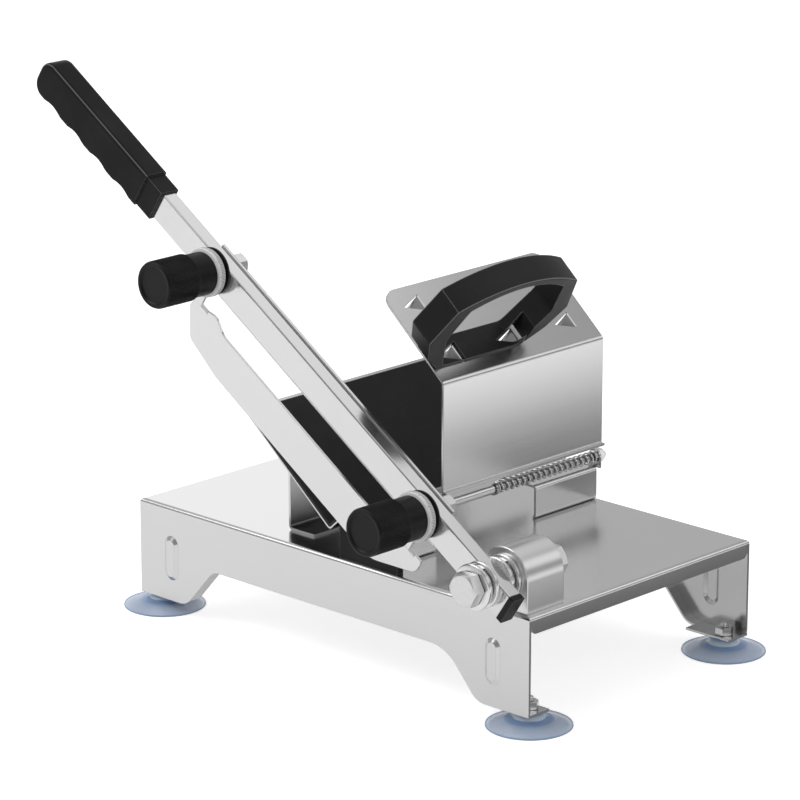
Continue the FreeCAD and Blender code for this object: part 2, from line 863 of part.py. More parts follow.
def trough_tray():
    radii = [0, trough_bend_radius, 0]
    return single(bent_sheet(trough_path(), radii, trough_sheet, Y_AXIS * -1, Y_AXIS * trough_length))


def trough_liner():
    path = offset_path(trough_path(), trough_sheet, Y_AXIS * -1)
    path[0] = path[0] + (path[1] - path[0]).normalize() * liner_margin
    path[2] = path[2] + (path[1] - path[2]).normalize() * liner_margin
    radii = [0, trough_bend_radius - trough_sheet, 0]
    return single(bent_sheet(path, radii, liner_thickness, Y_AXIS * -1, Y_AXIS * trough_length))


def trough_stand():
    """Bent sheet under the long wall: foot on the table, web, flange along the wall."""
    left = math.radians(trough_left_slope)
    start_y = -stand_length / 2
    web_top = trough_bottom_z + stand_x * math.tan(left) - stand_sheet / math.cos(left)
    top = Vector(-stand_x, start_y, web_top)
    path = [
        Vector(stand_foot - stand_x, start_y, table_height), Vector(-stand_x, start_y, table_height),
        top, top + Vector(-math.cos(left), 0, math.sin(left)) * stand_flange,
    ]
    radii = [0, stand_bend_radius + stand_sheet, stand_bend_radius, 0]
    return single(bent_sheet(path, radii, stand_sheet, Y_AXIS, Y_AXIS * stand_length))


# Front board

def board_middle_y():
    return trough_front_y + board_thickness / 2


def board_screw_places():
    return (board_left + board_screw_inset, board_left + board_length - board_screw_inset)


def board_screw(x):
    underside = table_height - table_sheet
    start = Vector(x, board_middle_y(), underside - board_screw_head)
    head = cylinder(board_screw_head_radius, start, board_screw_head)
    shank = cylinder(board_screw_radius, start, board_screw_head + board_screw_length)
    return single(head.fuse(shank))


def front_board():
    board = Part.makeBox(board_length, board_thickness, board_height,
                         Vector(board_left, trough_front_y, table_height))
    for x in board_screw_places():
        board = board.cut(board_screw(x))
    return single(board)


# Guide rod, its brackets and nuts

def rod_bracket(start_y, end_y, lug_y, lug_radius):
    """Channel between the table and the trough's lip, with a lug that holds the rod."""
    lip = math.radians(trough_lip_slope)
    lip_x = (rod_bracket_top_z - trough_bottom_z) / math.tan(lip)
    flange_end = lip_x + lip_gap
    path = [
        Vector(rod_bracket_face_x - rod_bracket_foot, start_y, table_height),
        Vector(rod_bracket_face_x, start_y, table_height),
        Vector(rod_bracket_face_x, start_y, rod_bracket_top_z),
        Vector(flange_end, start_y, rod_bracket_top_z),
    ]
    radii = [0, rod_bracket_bend, rod_bracket_bend, 0]
    channel = bent_sheet(path, radii, rod_bracket_sheet, Y_AXIS * -1, Y_AXIS * (end_y - start_y))
    channel = channel.cut(Part.makeBox(rod_bracket_foot - rod_bracket_bend, rod_bracket_foot_setback,
                                       rod_bracket_sheet, path[0]))
    low_z = rod_bracket_top_z - rod_bracket_sheet
    lug = Part.makeBox(2 * lug_radius, rod_bracket_sheet, rod_z - low_z,
                       Vector(rod_x - lug_radius, lug_y, low_z))
    lug = lug.fuse(cylinder(lug_radius, Vector(rod_x, lug_y, rod_z), rod_bracket_sheet, Y_AXIS))
    bridge_start = min(end_y, lug_y)
    bridge = Part.makeBox(lug_radius, max(lug_y + rod_bracket_sheet - bridge_start, rod_bracket_sheet),
                          rod_bracket_sheet, Vector(rod_x - lug_radius, bridge_start, low_z))
    hole = cylinder(rod_radius + hole_clearance, Vector(rod_x, lug_y, rod_z), rod_bracket_sheet, Y_AXIS)
    return single(channel.fuse(lug).fuse(bridge).cut(hole))


def rod_bracket_front():
    end_y = front_lug_y
    lug_y = front_lug_y - rod_bracket_sheet
    start_y = trough_front_y + board_thickness
    return rod_bracket(start_y, end_y, lug_y, front_lug_radius)


def rod_bracket_rear():
    return rod_bracket(rear_bracket_start, rear_bracket_end, rear_lug_y, rear_lug_radius)


def rod_ends():
    front = front_lug_y - rod_bracket_sheet - rod_nut_height
    back = rear_lug_y + rod_bracket_sheet
    return front, back


def guide_rod():
    front, back = rod_ends()
    length = back + rod_nut_height - front + 2 * rod_proud
    return cylinder(rod_radius, Vector(rod_x, front - rod_proud, rod_z), length, Y_AXIS)


def rod_nuts():
    return [hexagon(rod_nut_flats, Vector(rod_x, y, rod_z), rod_nut_height, Y_AXIS, rod_radius)
            for y in rod_ends()]


# Return spring

def biarc(first, first_direction, second, second_direction):
    """Two tangent arcs that join two places with given directions."""
    chord = second - first
    both = first_direction + second_direction
    spread = 2 * (1 - first_direction.dot(second_direction))
    along = chord.dot(both)
    reach = (-along + math.sqrt(along ** 2 + spread * chord.dot(chord))) / spread
    joint = (first + second + (first_direction - second_direction) * reach) * 0.5
    arcs = []
    for start, apex, end in ((first, first + first_direction * reach, joint),
                             (joint, second - second_direction * reach, second)):
        middle = (start + end) * 0.5
        half = (apex - start).getAngle(end - start)
        share = math.cos(half) / (1 + math.cos(half))
        arcs.append(Part.Arc(start, middle + (apex - middle) * share, end))
    return arcs


def spring_route():
    """Centre line: straight end, bend, turns from biarcs of half a turn, bend, straight end."""
    start_y = slide_washer_back_y + spring_seat_gap
    end_y = rear_lug_y - spring_seat_gap
    end_run = spring_wire + spring_end_bend
    coil_length = end_y - start_y - 2 * end_run
    centre = Vector(rod_x, start_y + end_run, rod_z)
    rise = coil_length / (spring_turns * 2 * math.pi)
    speed = math.hypot(spring_radius, rise)

    def place(angle):
        return centre + Vector(spring_radius * math.cos(angle), rise * angle,
                               spring_radius * math.sin(angle))

    def direction(angle):
        return Vector(-spring_radius * math.sin(angle), rise, spring_radius * math.cos(angle)) / speed

    curves = []
    half_turns = 2 * spring_turns
    for index in range(half_turns):
        start = math.pi * index
        curves += biarc(place(start), direction(start), place(start + math.pi), direction(start + math.pi))
    last = math.pi * half_turns
    ends = []
    for angle, way in ((0, -1), (last, 1)):
        # The wire leaves the coil along its own direction and turns square to its seat
        leaving = direction(angle) * way
        axial = Y_AXIS * way
        half = (leaving * -1).getAngle(axial) / 2
        reach = spring_end_bend / math.tan(half)
        corner = place(angle) + leaving * reach
        bend_end = corner + axial * reach
        inward = (axial - leaving).normalize()
        middle = corner + inward * (spring_end_bend / math.sin(half) - spring_end_bend)
        seat_y = start_y if way < 0 else end_y
        tip = Vector(bend_end.x, seat_y, bend_end.z)
        ends.append((place(angle), middle, bend_end, tip))
    first, last_end = ends
    route = [Part.LineSegment(first[3], first[2]), Part.Arc(first[2], first[1], first[0])]
    route += curves
    route += [Part.Arc(last_end[0], last_end[1], last_end[2]),
              Part.LineSegment(last_end[2], last_end[3])]
    return route


def least_gap(edges):
    """Least distance between the tube's own skin, one turn or more apart along the wire."""
    step = spring_wire / 3
    samples = []
    for edge in edges:
        count = max(2, int(edge.Length / step))
        samples += edge.discretize(count)[:-1]
    skip = int(3 * spring_wire / step)
    two_turns = int(4 * math.pi * spring_radius / step)
    least = 1e9
    for index, point in enumerate(samples):
        for other in samples[index + skip:index + skip + two_turns]:
            least = min(least, point.distanceToPoint(other))
    return least - spring_wire


def feed_spring():
    route = spring_route()
    wire = Part.Wire([curve.toShape() for curve in route])
    start = wire.Edges[0].valueAt(wire.Edges[0].FirstParameter)
    section = Part.Wire(Part.makeCircle(spring_wire / 2, start, Y_AXIS))
    shell = Part.BRepOffsetAPI.MakePipeShell(wire)
    shell.add(section, False, False)
    shell.build()
    shell.makeSolid()
    solid = shell.shape()
    if solid.ShapeType != "Solid":
        solid = solid.Solids[0]
    print("spring: wire %.1f mm long, least gap to itself %.2f mm, volume %.1f of %.1f mm3" % (
        wire.Length, least_gap(wire.Edges), solid.Volume, wire.Length * math.pi * spring_wire ** 2 / 4))
    return solid


# Press cover

def tooth_places():
    """Tip of each tooth as (y, distance up the plate)."""
    places = []
    for row in tooth_rows:
        for column in range(tooth_columns):
            places.append((cover_front_y + tooth_first + tooth_pitch * column, row))
    return places


def on_plate(y, up, off=0.0):
    return plate_fold + Vector(0, y, 0) + up_plate * up + off_plate * off


def triangle(tip_y, up, margin, depth, off):
    """Triangular prism over a tooth, its tip towards -Y, grown by margin."""
    points = [on_plate(tip_y - margin * 2, up, off),
              on_plate(tip_y + tooth_length + margin, up - tooth_half_width - margin, off),
              on_plate(tip_y + tooth_length + margin, up + tooth_half_width + margin, off)]
    return Part.Face(Part.makePolygon(points + [points[0]])).extrude(off_plate * depth)


def tooth(tip_y, up):
    """Triangular flap, joined to the plate at its base and bent inwards to a point."""
    hinge_y = tip_y + tooth_length
    root_y = hinge_y + tooth_root
    turn = math.radians(tooth_bend)
    reach = tooth_fold_radius * math.tan(turn / 2)
    bend = on_plate(hinge_y - reach, up - tooth_half_width)
    tip = bend + (Y_AXIS * -math.cos(turn) - off_plate * math.sin(turn)) * (tooth_length - reach)
    path = [on_plate(root_y, up - tooth_half_width), bend, tip]
    strip = bent_sheet(path, [0, tooth_fold_radius, 0], cover_sheet, up_plate * -1,
                       up_plate * 2 * tooth_half_width)
    half = tooth_half_width - tooth_relief
    low = -tooth_length
    corners = [on_plate(root_y, up - half, low), on_plate(root_y, up + half, low),
               on_plate(hinge_y, up + half, low), on_plate(tip.y - tooth_relief, up, low),
               on_plate(hinge_y, up - half, low)]
    mask = Part.Face(Part.makePolygon(corners + [corners[0]])).extrude(off_plate * 2 * tooth_length)
    return strip.common(mask)


def press_cover():
    y = cover_front_y
    face = cover_face_x
    path = [
        Vector(face + cover_lip, y, cover_bottom_z + cover_sheet),
        Vector(face, y, cover_bottom_z + cover_sheet),
        plate_fold + Vector(0, y, 0),
        on_plate(y, cover_plate_width),
    ]
    radii = [0, cover_lip_bend, cover_fold_radius, 0]
    cover = bent_sheet(path, radii, cover_sheet, Y_AXIS * -1, Y_AXIS * cover_length)
    low = -2 * cover_wall_height
    corners = [on_plate(y, low, low), on_plate(y, cover_plate_width, low),
               on_plate(cover_back_y, cover_plate_width, low), on_plate(cover_back_y, low, low)]
    mask = rounded_plate(corners, [0, cover_corner_radius, cover_corner_radius, 0], off_plate * -4 * low)
    cover = cover.common(mask)
    for tip_y, up in tooth_places():
        cover = cover.cut(triangle(tip_y, up, 0, 2 * cover_sheet, -1.5 * cover_sheet))
        cover = cover.fuse(tooth(tip_y, up))
    for screw_y in loop_screw_places():
        cover = cover.cut(cylinder(loop_screw_radius, screw_point(screw_y) - off_plate * 2 * cover_sheet,
                                   4 * cover_sheet, off_plate))
    return single(cover)


def cover_knuckle():
    """Sleeve on the guide rod with a strap welded inside the cover's wall."""
    start_y = front_lug_y + knuckle_gap
    length = knuckle_end_y - start_y
    outer = rod_radius + running_fit + knuckle_wall
    sleeve = cylinder(outer, Vector(rod_x, start_y, rod_z), length, Y_AXIS)
    strap_y = cover_front_y + knuckle_strap_inset
    strap_x = cover_face_x - cover_sheet - knuckle_wall
    strap = Part.makeBox(knuckle_wall, knuckle_end_y - strap_y,
                         cover_bottom_z + knuckle_strap - rod_z, Vector(strap_x, strap_y, rod_z))
    bore = cylinder(rod_radius + running_fit, Vector(rod_x, start_y, rod_z), length, Y_AXIS)
    return single(sleeve.fuse(strap).cut(bore))


def slide_washer():
    return ring(slide_washer_radius, rod_radius + running_fit, Vector(rod_x, knuckle_end_y, rod_z),
                slide_washer_thickness, Y_AXIS)


# Cover handle

def loop_point(half, height):
    lean = math.tan(math.radians(loop_lean))
    return on_plate(loop_middle_y + half, loop_start + lean * height, height)


def loop_outline(side_points, shoulder_half, shoulder_height, top):
    """Closed loop outline: side points (half width, height, radius), and one arc over the top."""
    shoulders = [loop_point(-shoulder_half, shoulder_height), loop_point(shoulder_half, shoulder_height)]
    left = [loop_point(-half, height) for half, height, radius in side_points]
    right = [loop_point(half, height) for half, height, radius in side_points]
    radii = [radius for half, height, radius in side_points]
    outline = rounded_wire([shoulders[0]] + left[::-1] + right + [shoulders[1]],
                           [0] + radii[::-1] + radii + [0])
    # The last edge closes the outline straight across the shoulders
    edges = outline.OrderedEdges[:-1]
    edges.append(Part.Arc(shoulders[1], loop_point(0, top), shoulders[0]).toShape())
    return Part.Wire(edges)


def loop_screw_places():
    middle = loop_middle_y + loop_screw_shift
    return (middle - loop_screw_spread, middle + loop_screw_spread)


def screw_point(y):
    return on_plate(y, loop_start + loop_width / 2, 0)


def loop_screw(y):
    head_start = screw_point(y) - off_plate * (cover_sheet + loop_screw_head)
    head = cylinder(loop_screw_head_radius, head_start, loop_screw_head, off_plate)
    shank = cylinder(loop_screw_radius, head_start, loop_screw_head + cover_sheet + loop_screw_bite,
                     off_plate)
    return single(head.fuse(shank))


def cover_handle():
    outer = loop_outline([(loop_foot_half, 0, loop_foot_radius),
                          (loop_low_half, loop_low_height, loop_low_radius),
                          (loop_widest_half, loop_widest_height, loop_widest_radius)],
                         loop_shoulder_half, loop_shoulder_height, loop_top)
    inner = loop_outline([(loop_inner_foot_half, loop_floor, loop_inner_foot_radius),
                          (loop_widest_half - loop_side, loop_widest_height, loop_inner_radius)],
                         loop_shoulder_half - loop_shoulder_side,
                         loop_shoulder_height - loop_shoulder_drop, loop_top - loop_strap)
    body = Part.Face(outer).extrude(up_plate * loop_width)
    rims = []
    for edge in body.Edges:
        middle = edge.valueAt((edge.FirstParameter + edge.LastParameter) / 2)
        height = (middle - plate_fold).dot(off_plate)
        turns_along_plate = abs(edge.tangentAt(edge.FirstParameter).dot(up_plate)) > 0.5
        if height > loop_edge and not turns_along_plate:
            rims.append(edge)
    body = body.makeFillet(loop_edge, rims)
    body = body.cut(Part.Face(inner).extrude(up_plate * loop_width))
    for tip_y, up in tooth_places():
        if up > loop_start + loop_width:
            continue
        if tip_y < loop_middle_y + loop_foot_half:
            body = body.cut(triangle(tip_y, up, window_margin, 2 * loop_low_height, -cover_sheet))
    for screw_y in loop_screw_places():
        body = body.cut(loop_screw(screw_y))
    return single(body)


def node_shapes():
    """Every node's solids, by name."""
    places = foot_places()
    shapes = {
        "base_table": [base_table()],
        "suction_cups": [suction_cup(place) for place in places],
        "cup_studs": [cup_stud(place) for place in places],
        "cup_nuts": [cup_nut(place) for place in places],
        "pivot_bracket": [pivot_bracket()],
        "pivot_bolt": [pivot_bolt()],
        "pivot_flat_washers": pivot_flat_washers(),
        "pivot_spring_washers": pivot_spring_washers(),
        "pivot_nut": [pivot_nut()],
        "arm_tube": [arm_tube()],
        "pivot_bush": [pivot_bush()],
        "arm_end_plug": [arm_end_plug()],
        "arm_handle": [arm_handle()],
        "blade": [blade()],
        "thickness_gauge": [thickness_gauge()],
        "knob_bolts": [knob_bolt(along) for along in (knob_far_distance, knob_near_distance)],
        "knob_pads": [knob_pad(along) for along in (knob_far_distance, knob_near_distance)],
        "trough_tray": [trough_tray()],
        "trough_liner": [trough_liner()],
        "trough_stand": [trough_stand()],
        "front_board": [front_board()],
        "board_screws": [board_screw(x) for x in board_screw_places()],
        "rod_bracket_front": [rod_bracket_front()],
        "rod_bracket_rear": [rod_bracket_rear()],
        "guide_rod": [guide_rod()],
        "rod_nuts": rod_nuts(),
        "slide_washer": [slide_washer()],
        "feed_spring": [feed_spring()],
        "press_cover": [press_cover()],
        "cover_knuckle": [cover_knuckle()],
        "cover_handle": [cover_handle()],
        "handle_screws": [loop_screw(y) for y in loop_screw_places()],
    }
    for number, along in enumerate((knob_far_distance, knob_near_distance), 1):
        shapes["knob_%d" % number] = [knob(along)]
        shapes["knob_insert_%d" % number] = [knob_insert(along)]
        shapes["dial_ring_%d" % number] = [dial_ring(along)]
    return shapes


def save_nodes():
    os.makedirs("parts", exist_ok=True)
    for name, solids in node_shapes().items():
        shape = solids[0] if len(solids) == 1 else Part.makeCompound(solids)
        shape.translate(Vector(table_middle_x, table_middle_y, 0))
        shape.exportStep("parts/%s.step" % name)


save_nodes()
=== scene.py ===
import json
import math
import bpy
from mathutils import Matrix, Vector


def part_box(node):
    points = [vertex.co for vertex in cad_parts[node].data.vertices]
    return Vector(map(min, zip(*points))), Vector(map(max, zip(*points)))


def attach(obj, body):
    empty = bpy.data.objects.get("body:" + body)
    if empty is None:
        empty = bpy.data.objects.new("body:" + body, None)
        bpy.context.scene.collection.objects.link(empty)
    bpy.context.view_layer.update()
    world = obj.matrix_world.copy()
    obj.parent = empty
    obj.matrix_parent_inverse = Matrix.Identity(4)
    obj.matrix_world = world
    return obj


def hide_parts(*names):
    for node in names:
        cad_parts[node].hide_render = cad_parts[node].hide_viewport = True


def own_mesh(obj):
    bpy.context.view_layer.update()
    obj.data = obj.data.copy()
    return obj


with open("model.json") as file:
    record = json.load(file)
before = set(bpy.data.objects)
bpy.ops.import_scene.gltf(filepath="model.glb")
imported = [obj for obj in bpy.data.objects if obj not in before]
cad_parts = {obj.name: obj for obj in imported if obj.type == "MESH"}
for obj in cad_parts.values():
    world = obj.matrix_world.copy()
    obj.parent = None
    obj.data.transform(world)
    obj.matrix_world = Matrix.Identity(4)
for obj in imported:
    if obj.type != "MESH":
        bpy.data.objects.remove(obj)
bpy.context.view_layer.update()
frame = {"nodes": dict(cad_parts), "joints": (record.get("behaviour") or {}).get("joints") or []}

nodes = frame["nodes"]
joints = {joint["name"]: joint for joint in frame["joints"]}


# Table: one stainless sheet folded down on all sides, feet and arches cut in its long walls.
# Its brushed finish runs along the long side, and painted shade makes its sharp cut edges
# thin darker lines.

class Shade:
    """A socket of a material that takes part in sums, so that 1 - mask works."""

    def __init__(self, tree, socket):
        self.tree = tree
        self.socket = socket

    def node(self, kind, inputs=None, output=0, stops=None, **settings):
        """Adds a node: its settings first, then the value or the link of each socket."""
        node = self.tree.nodes.new(kind)
        for name, value in settings.items():
            setattr(node, name, value)
        for index, (position, level) in enumerate(stops or []):
            ramp = node.color_ramp.elements
            element = ramp[index] if index < 2 else ramp.new(position)
            element.position = position
            element.color = grey(level)
        for name, value in (inputs or {}).items():
            socket = node.inputs[name]
            if isinstance(value, Shade):
                self.tree.links.new(value.socket, socket)
            else:
                socket.default_value = value
        return Shade(self.tree, node.outputs[output])

    def math(self, operation, first, second):
        return self.node("ShaderNodeMath", {0: first, 1: second}, operation=operation)

    def __add__(self, other):
        return self.math("ADD", self, other)

    def __radd__(self, other):
        return self.math("ADD", other, self)

    def __sub__(self, other):
        return self.math("SUBTRACT", self, other)

    def __rsub__(self, other):
        return self.math("SUBTRACT", other, self)

    def __mul__(self, other):
        return self.math("MULTIPLY", self, other)

    def __rmul__(self, other):
        return self.math("MULTIPLY", other, self)

    def vector_math(self, operation, other, output=0):
        return self.node("ShaderNodeVectorMath", {0: self, 1: other}, output=output,
                         operation=operation)

    def mix(self, dark, light):
        """The colour between two, where this value is the share of the second."""
        return self.node("ShaderNodeMix", {0: self, 6: dark, 7: light}, output=2,
                         data_type="RGBA", clamp_factor=True)

    def stretched(self, x, y, z):
        """The place counted in cells: so many for each metre along each axis."""
        return self.vector_math("MULTIPLY", (x, y, z))

    def cells(self, count):
        """The place counted in cells, as many for each metre along every axis."""
        return self.stretched(count, count, count)

    def leaned(self, angle):
        """The place turned about the Y axis, so that its X runs along the arm."""
        return self.node("ShaderNodeVectorRotate", {"Vector": self, "Angle": angle},
                         rotation_type="Y_AXIS")

    def grain(self, detail=3.0, roughness=0.55):
        """Cloudy noise with one cell for each unit of this place."""
        return self.node("ShaderNodeTexNoise", {"Vector": self, "Scale": 1.0, "Detail": detail,
                                                "Roughness": roughness})

    def ramp(self, *stops):
        """This value led through stops, each a position and the level there."""
        return self.node("ShaderNodeValToRGB", {0: self}, stops=stops)


def grey(level):
    return (level, level, level, 1.0)


class Finish:
    """A material: its shader's own settings, and what varies over the surface."""

    def __init__(self, name, **settings):
        self.material = bpy.data.materials.new(name)
        self.material.use_nodes = True
        tree = self.material.node_tree
        self.shader = tree.nodes["Principled BSDF"]
        for socket, value in settings.items():
            self.shader.inputs[socket.replace("_", " ")].default_value = value
        self.place = Shade(tree, tree.nodes.new("ShaderNodeTexCoord").outputs["Object"])

    def paint(self, socket, shade):
        shade.tree.links.new(shade.socket, self.shader.inputs[socket])

    def emboss(self, height, depth, strength, edge=0.0):
        """Fine relief of a given depth in metres, over edges rounded by a small radius."""
        inputs = {"Height": height, "Distance": depth, "Strength": strength}
        if edge:
            inputs["Normal"] = height.node("ShaderNodeBevel", {"Radius": edge}, samples=4)
        self.paint("Normal", height.node("ShaderNodeBump", inputs))

    def edge_line(self, radius):
        """One along the sharp edges, nought on the faces."""
        rounded = self.place.node("ShaderNodeBevel", {"Radius": radius}, samples=4)
        flat = self.place.node("ShaderNodeNewGeometry", output="Normal")
        likeness = rounded.vector_math("DOT_PRODUCT", flat, output="Value")
        return (1 - likeness).ramp((0.01, 0.0), (0.09, 1.0))

    def corner_line(self, side, low, high, fade=0.06):
        """One on the part of a rounded corner that looks partly along side, where a highlight is
        painted.
        """
        normal = self.place.node("ShaderNodeNewGeometry", output="Normal")
        turned = normal.vector_math("DOT_PRODUCT", side, output="Value")
        share = turned.node("ShaderNodeMath", {0: turned}, operation="ABSOLUTE")
        return share.ramp((low, 0.0), (low + fade, 1.0), (high - fade, 1.0), (high, 0.0))

    def coat(self, *names):
        """Gives the finish to CAD nodes."""
        for name in names:
            piece = nodes[name]
            piece.data.materials.clear()
            piece.data.materials.append(self.material)


def sheet_finish(name, along=(5.0, 1400.0, 1400.0), tone=0.66, gloss=0.20, lean=0.0):
    """Stainless sheet: fine hairlines along one axis, very soft clouding, and painted shade along
    its sharp edges.
    """
    steel = Finish(name, Metallic=1.0)
    place = steel.place.leaned(lean) if lean else steel.place
    hairline = place.stretched(*along).grain(detail=4.0)
    cloud = place.cells(9.0).grain(detail=2.0)
    sheet_tone = (hairline * 0.7 + cloud * 0.3).mix(grey(tone - 0.03), grey(tone + 0.05))
    # Painted shade: sharp edges and creases are coloured darker, as thin dark lines.
    edges = steel.edge_line(radius=0.0005)
    steel.paint("Base Color", edges.mix(sheet_tone, grey(tone * 0.4)))
    steel.paint("Roughness", hairline * 0.05 + cloud * 0.03 + (gloss - 0.04))
    steel.emboss(hairline, depth=0.000006, strength=0.2, edge=0.0004)
    return steel


sheet_finish("brushed_table_steel").coat("base_table")


# Suction cups: soft clear-blue vinyl, moulded in one with a thick hub round the head of the
# stud. The thin skirt is pale, the bead round its rim is deep blue, and a painted highlight
# makes a bright ring at the foot of the hub.

def deselect():
    """Leaves nothing selected, so that the next operator acts on the new piece alone."""
    bpy.ops.object.select_all(action="DESELECT")


def apply_place():
    """Moves the new piece's place, turn and size into its mesh."""
    bpy.ops.object.transform_apply(location=True, rotation=True, scale=True)


on_axis = 0.0001
pole_radius = on_axis * 1.5


def turn_on_lathe(name, profile, sides, place=Matrix.Identity(4)):
    """Round piece about its own Z: a circle drawn up step by step through (radius, height).
    An end on the axis closes to a point."""
    deselect()
    radius, height = profile[0]
    bpy.ops.mesh.primitive_circle_add(vertices=sides, radius=radius, location=(0, 0, height))
    piece = bpy.context.object
    piece.name = name
    apply_place()
    bpy.ops.object.mode_set(mode="EDIT")
    bpy.ops.mesh.select_all(action="SELECT")
    for next_radius, next_height in profile[1:]:
        bpy.ops.mesh.extrude_edges_move(
            TRANSFORM_OT_translate={"value": (0, 0, next_height - height)})
        share = next_radius / radius
        bpy.ops.transform.resize(value=(share, share, 1), center_override=(0, 0, next_height))
        radius, height = next_radius, next_height
    if radius < pole_radius:
        bpy.ops.mesh.merge(type="CENTER")
    bpy.ops.object.mode_set(mode="OBJECT")
    first_radius, first_height = profile[0]
    if first_radius < pole_radius:
        for vertex in piece.data.vertices:
            vertex.select = (math.hypot(vertex.co.x, vertex.co.y) < pole_radius
                             and abs(vertex.co.z - first_height) < 0.000001)
        bpy.ops.object.mode_set(mode="EDIT")
        bpy.ops.mesh.select_mode(type="VERT")
        bpy.ops.mesh.merge(type="CENTER")
        bpy.ops.object.mode_set(mode="OBJECT")
    piece.data.transform(place)
    return piece


def settle(piece, body, finish, replaced=(), angle=35.0):
    """Ends a piece: points merged, faces outwards, smooth shading, finish, and its body."""
    bpy.context.view_layer.objects.active = piece
    deselect()
    piece.select_set(True)
    apply_place()
    bpy.ops.object.mode_set(mode="EDIT")
    bpy.ops.mesh.select_all(action="SELECT")
    bpy.ops.mesh.remove_doubles(threshold=0.000002)
    bpy.ops.mesh.normals_make_consistent(inside=False)
    bpy.ops.object.mode_set(mode="OBJECT")
    bpy.ops.object.shade_smooth_by_angle(angle=math.radians(angle))
    piece.data.materials.clear()
    piece.data.materials.append(finish.material)
    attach(piece, body)
    if replaced:
        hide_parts(*replaced)


def again(piece, name, move):
    """A copy with its own mesh, moved from the first one's place."""
    twin = piece.copy()
    twin.data = piece.data.copy()
    twin.name = name
    bpy.context.scene.collection.objects.link(twin)
    twin.data.transform(move)
    return twin


cup_low, cup_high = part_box("suction_cups")
cup_radius = 0.026
rim_bead = 0.0006
cup_places = [Vector((x, y, 0)) for x in (cup_low.x + cup_radius, cup_high.x - cup_radius)
              for y in (cup_low.y + cup_radius, cup_high.y - cup_radius)]

pale_vinyl = (0.60, 0.70, 0.86, 1)
deep_vinyl = (0.22, 0.38, 0.68, 1)
highlight_vinyl = (0.86, 0.94, 1.0, 1)
vinyl = Finish("clear_blue_vinyl", Metallic=0.0, IOR=1.45, Transmission_Weight=0.15,
               Specular_IOR_Level=0.35)
radius_share = vinyl.place.node("ShaderNodeAttribute", output=2, attribute_name="from_hub")
vinyl_cloud = vinyl.place.cells(160.0).grain()
vinyl_depth = radius_share.ramp((0.30, 1.0), (0.52, 0.80), (0.60, 0.30), (0.92, 0.12),
                                (0.965, 0.18), (0.985, 0.90), (1.0, 0.95))
vinyl_tint = (vinyl_depth * 0.9 + vinyl_cloud * 0.1).mix(pale_vinyl, deep_vinyl)
# Painted highlight: a pale ring round the foot of the hub.
painted_highlight_ring = radius_share.ramp((0.330, 0.0), (0.345, 0.9), (0.372, 0.9), (0.392, 0.0))
vinyl.paint("Base Color", painted_highlight_ring.mix(vinyl_tint, highlight_vinyl))
vinyl.paint("Roughness", vinyl_cloud * 0.1 + 0.16)
vinyl.paint("Alpha", vinyl_depth * 0.30 + 0.62)
vinyl.emboss(vinyl_cloud, depth=0.00005, strength=0.3)

cup_hollow = [(on_axis, 0.0026), (0.0075, 0.0026), (0.0140, 0.0026), (0.0190, 0.0015),
              (0.0236, 0.0)]
cup_rim = [(cup_radius - 0.0003, 0.0), (cup_radius, rim_bead / 2),
           (cup_radius - 0.0002, rim_bead + 0.0004)]
cup_skirt = [(0.0230, 0.0016), (0.0195, 0.0025), (0.0152, 0.0040), (0.0146, 0.0043),
             (0.0138, 0.0043), (0.0112, 0.0049), (0.0096, 0.0058), (0.0090, 0.0068)]
cup_hub = [(0.0088, 0.0080), (0.0086, 0.0088), (0.0080, 0.0092), (0.0034, 0.0092),
           (0.0031, 0.0088)]
cup = turn_on_lathe("suction_cup_1", cup_hollow + cup_rim + cup_skirt + cup_hub, 96)
from_hub = cup.data.attributes.new("from_hub", "FLOAT", "POINT")
for vertex, share in zip(cup.data.vertices, from_hub.data):
    share.value = math.hypot(vertex.co.x, vertex.co.y) / cup_radius
for number, place in enumerate(cup_places, 1):
    piece = again(cup, "suction_cup_%d" % number, Matrix.Translation(place))
    settle(piece, "frame", vinyl, ["suction_cups"], angle=50)
bpy.data.objects.remove(cup)


# Cup studs and nuts: zinc-plated M6 studs with a flat head moulded in the hub, and a chamfered
# nut on top of the foot. The thread shows above the nut.

def plated_finish(name, tone=0.72, gloss=0.22):
    """Bright plating: faint clouding, tiny pits and a soft waviness from the barrel."""
    plating = Finish(name, Metallic=1.0)
    cloud = plating.place.cells(260.0).grain(detail=4.0)
    pits = plating.place.cells(1400.0).grain(detail=2.0).ramp((0.62, 0.0), (0.72, 1.0))
    plated_tone = (cloud * 0.6 + pits * 0.4).mix(grey(tone + 0.06), grey(tone - 0.08))
    plating.paint("Base Color", plated_tone)
    plating.paint("Roughness", cloud * 0.08 + pits * 0.06 + (gloss - 0.04))
    plating.emboss(cloud - pits * 0.5, depth=0.00001, strength=0.3, edge=0.0003)
    return plating


bright_zinc = plated_finish("bright_zinc")
bright_zinc.coat("cup_nuts")


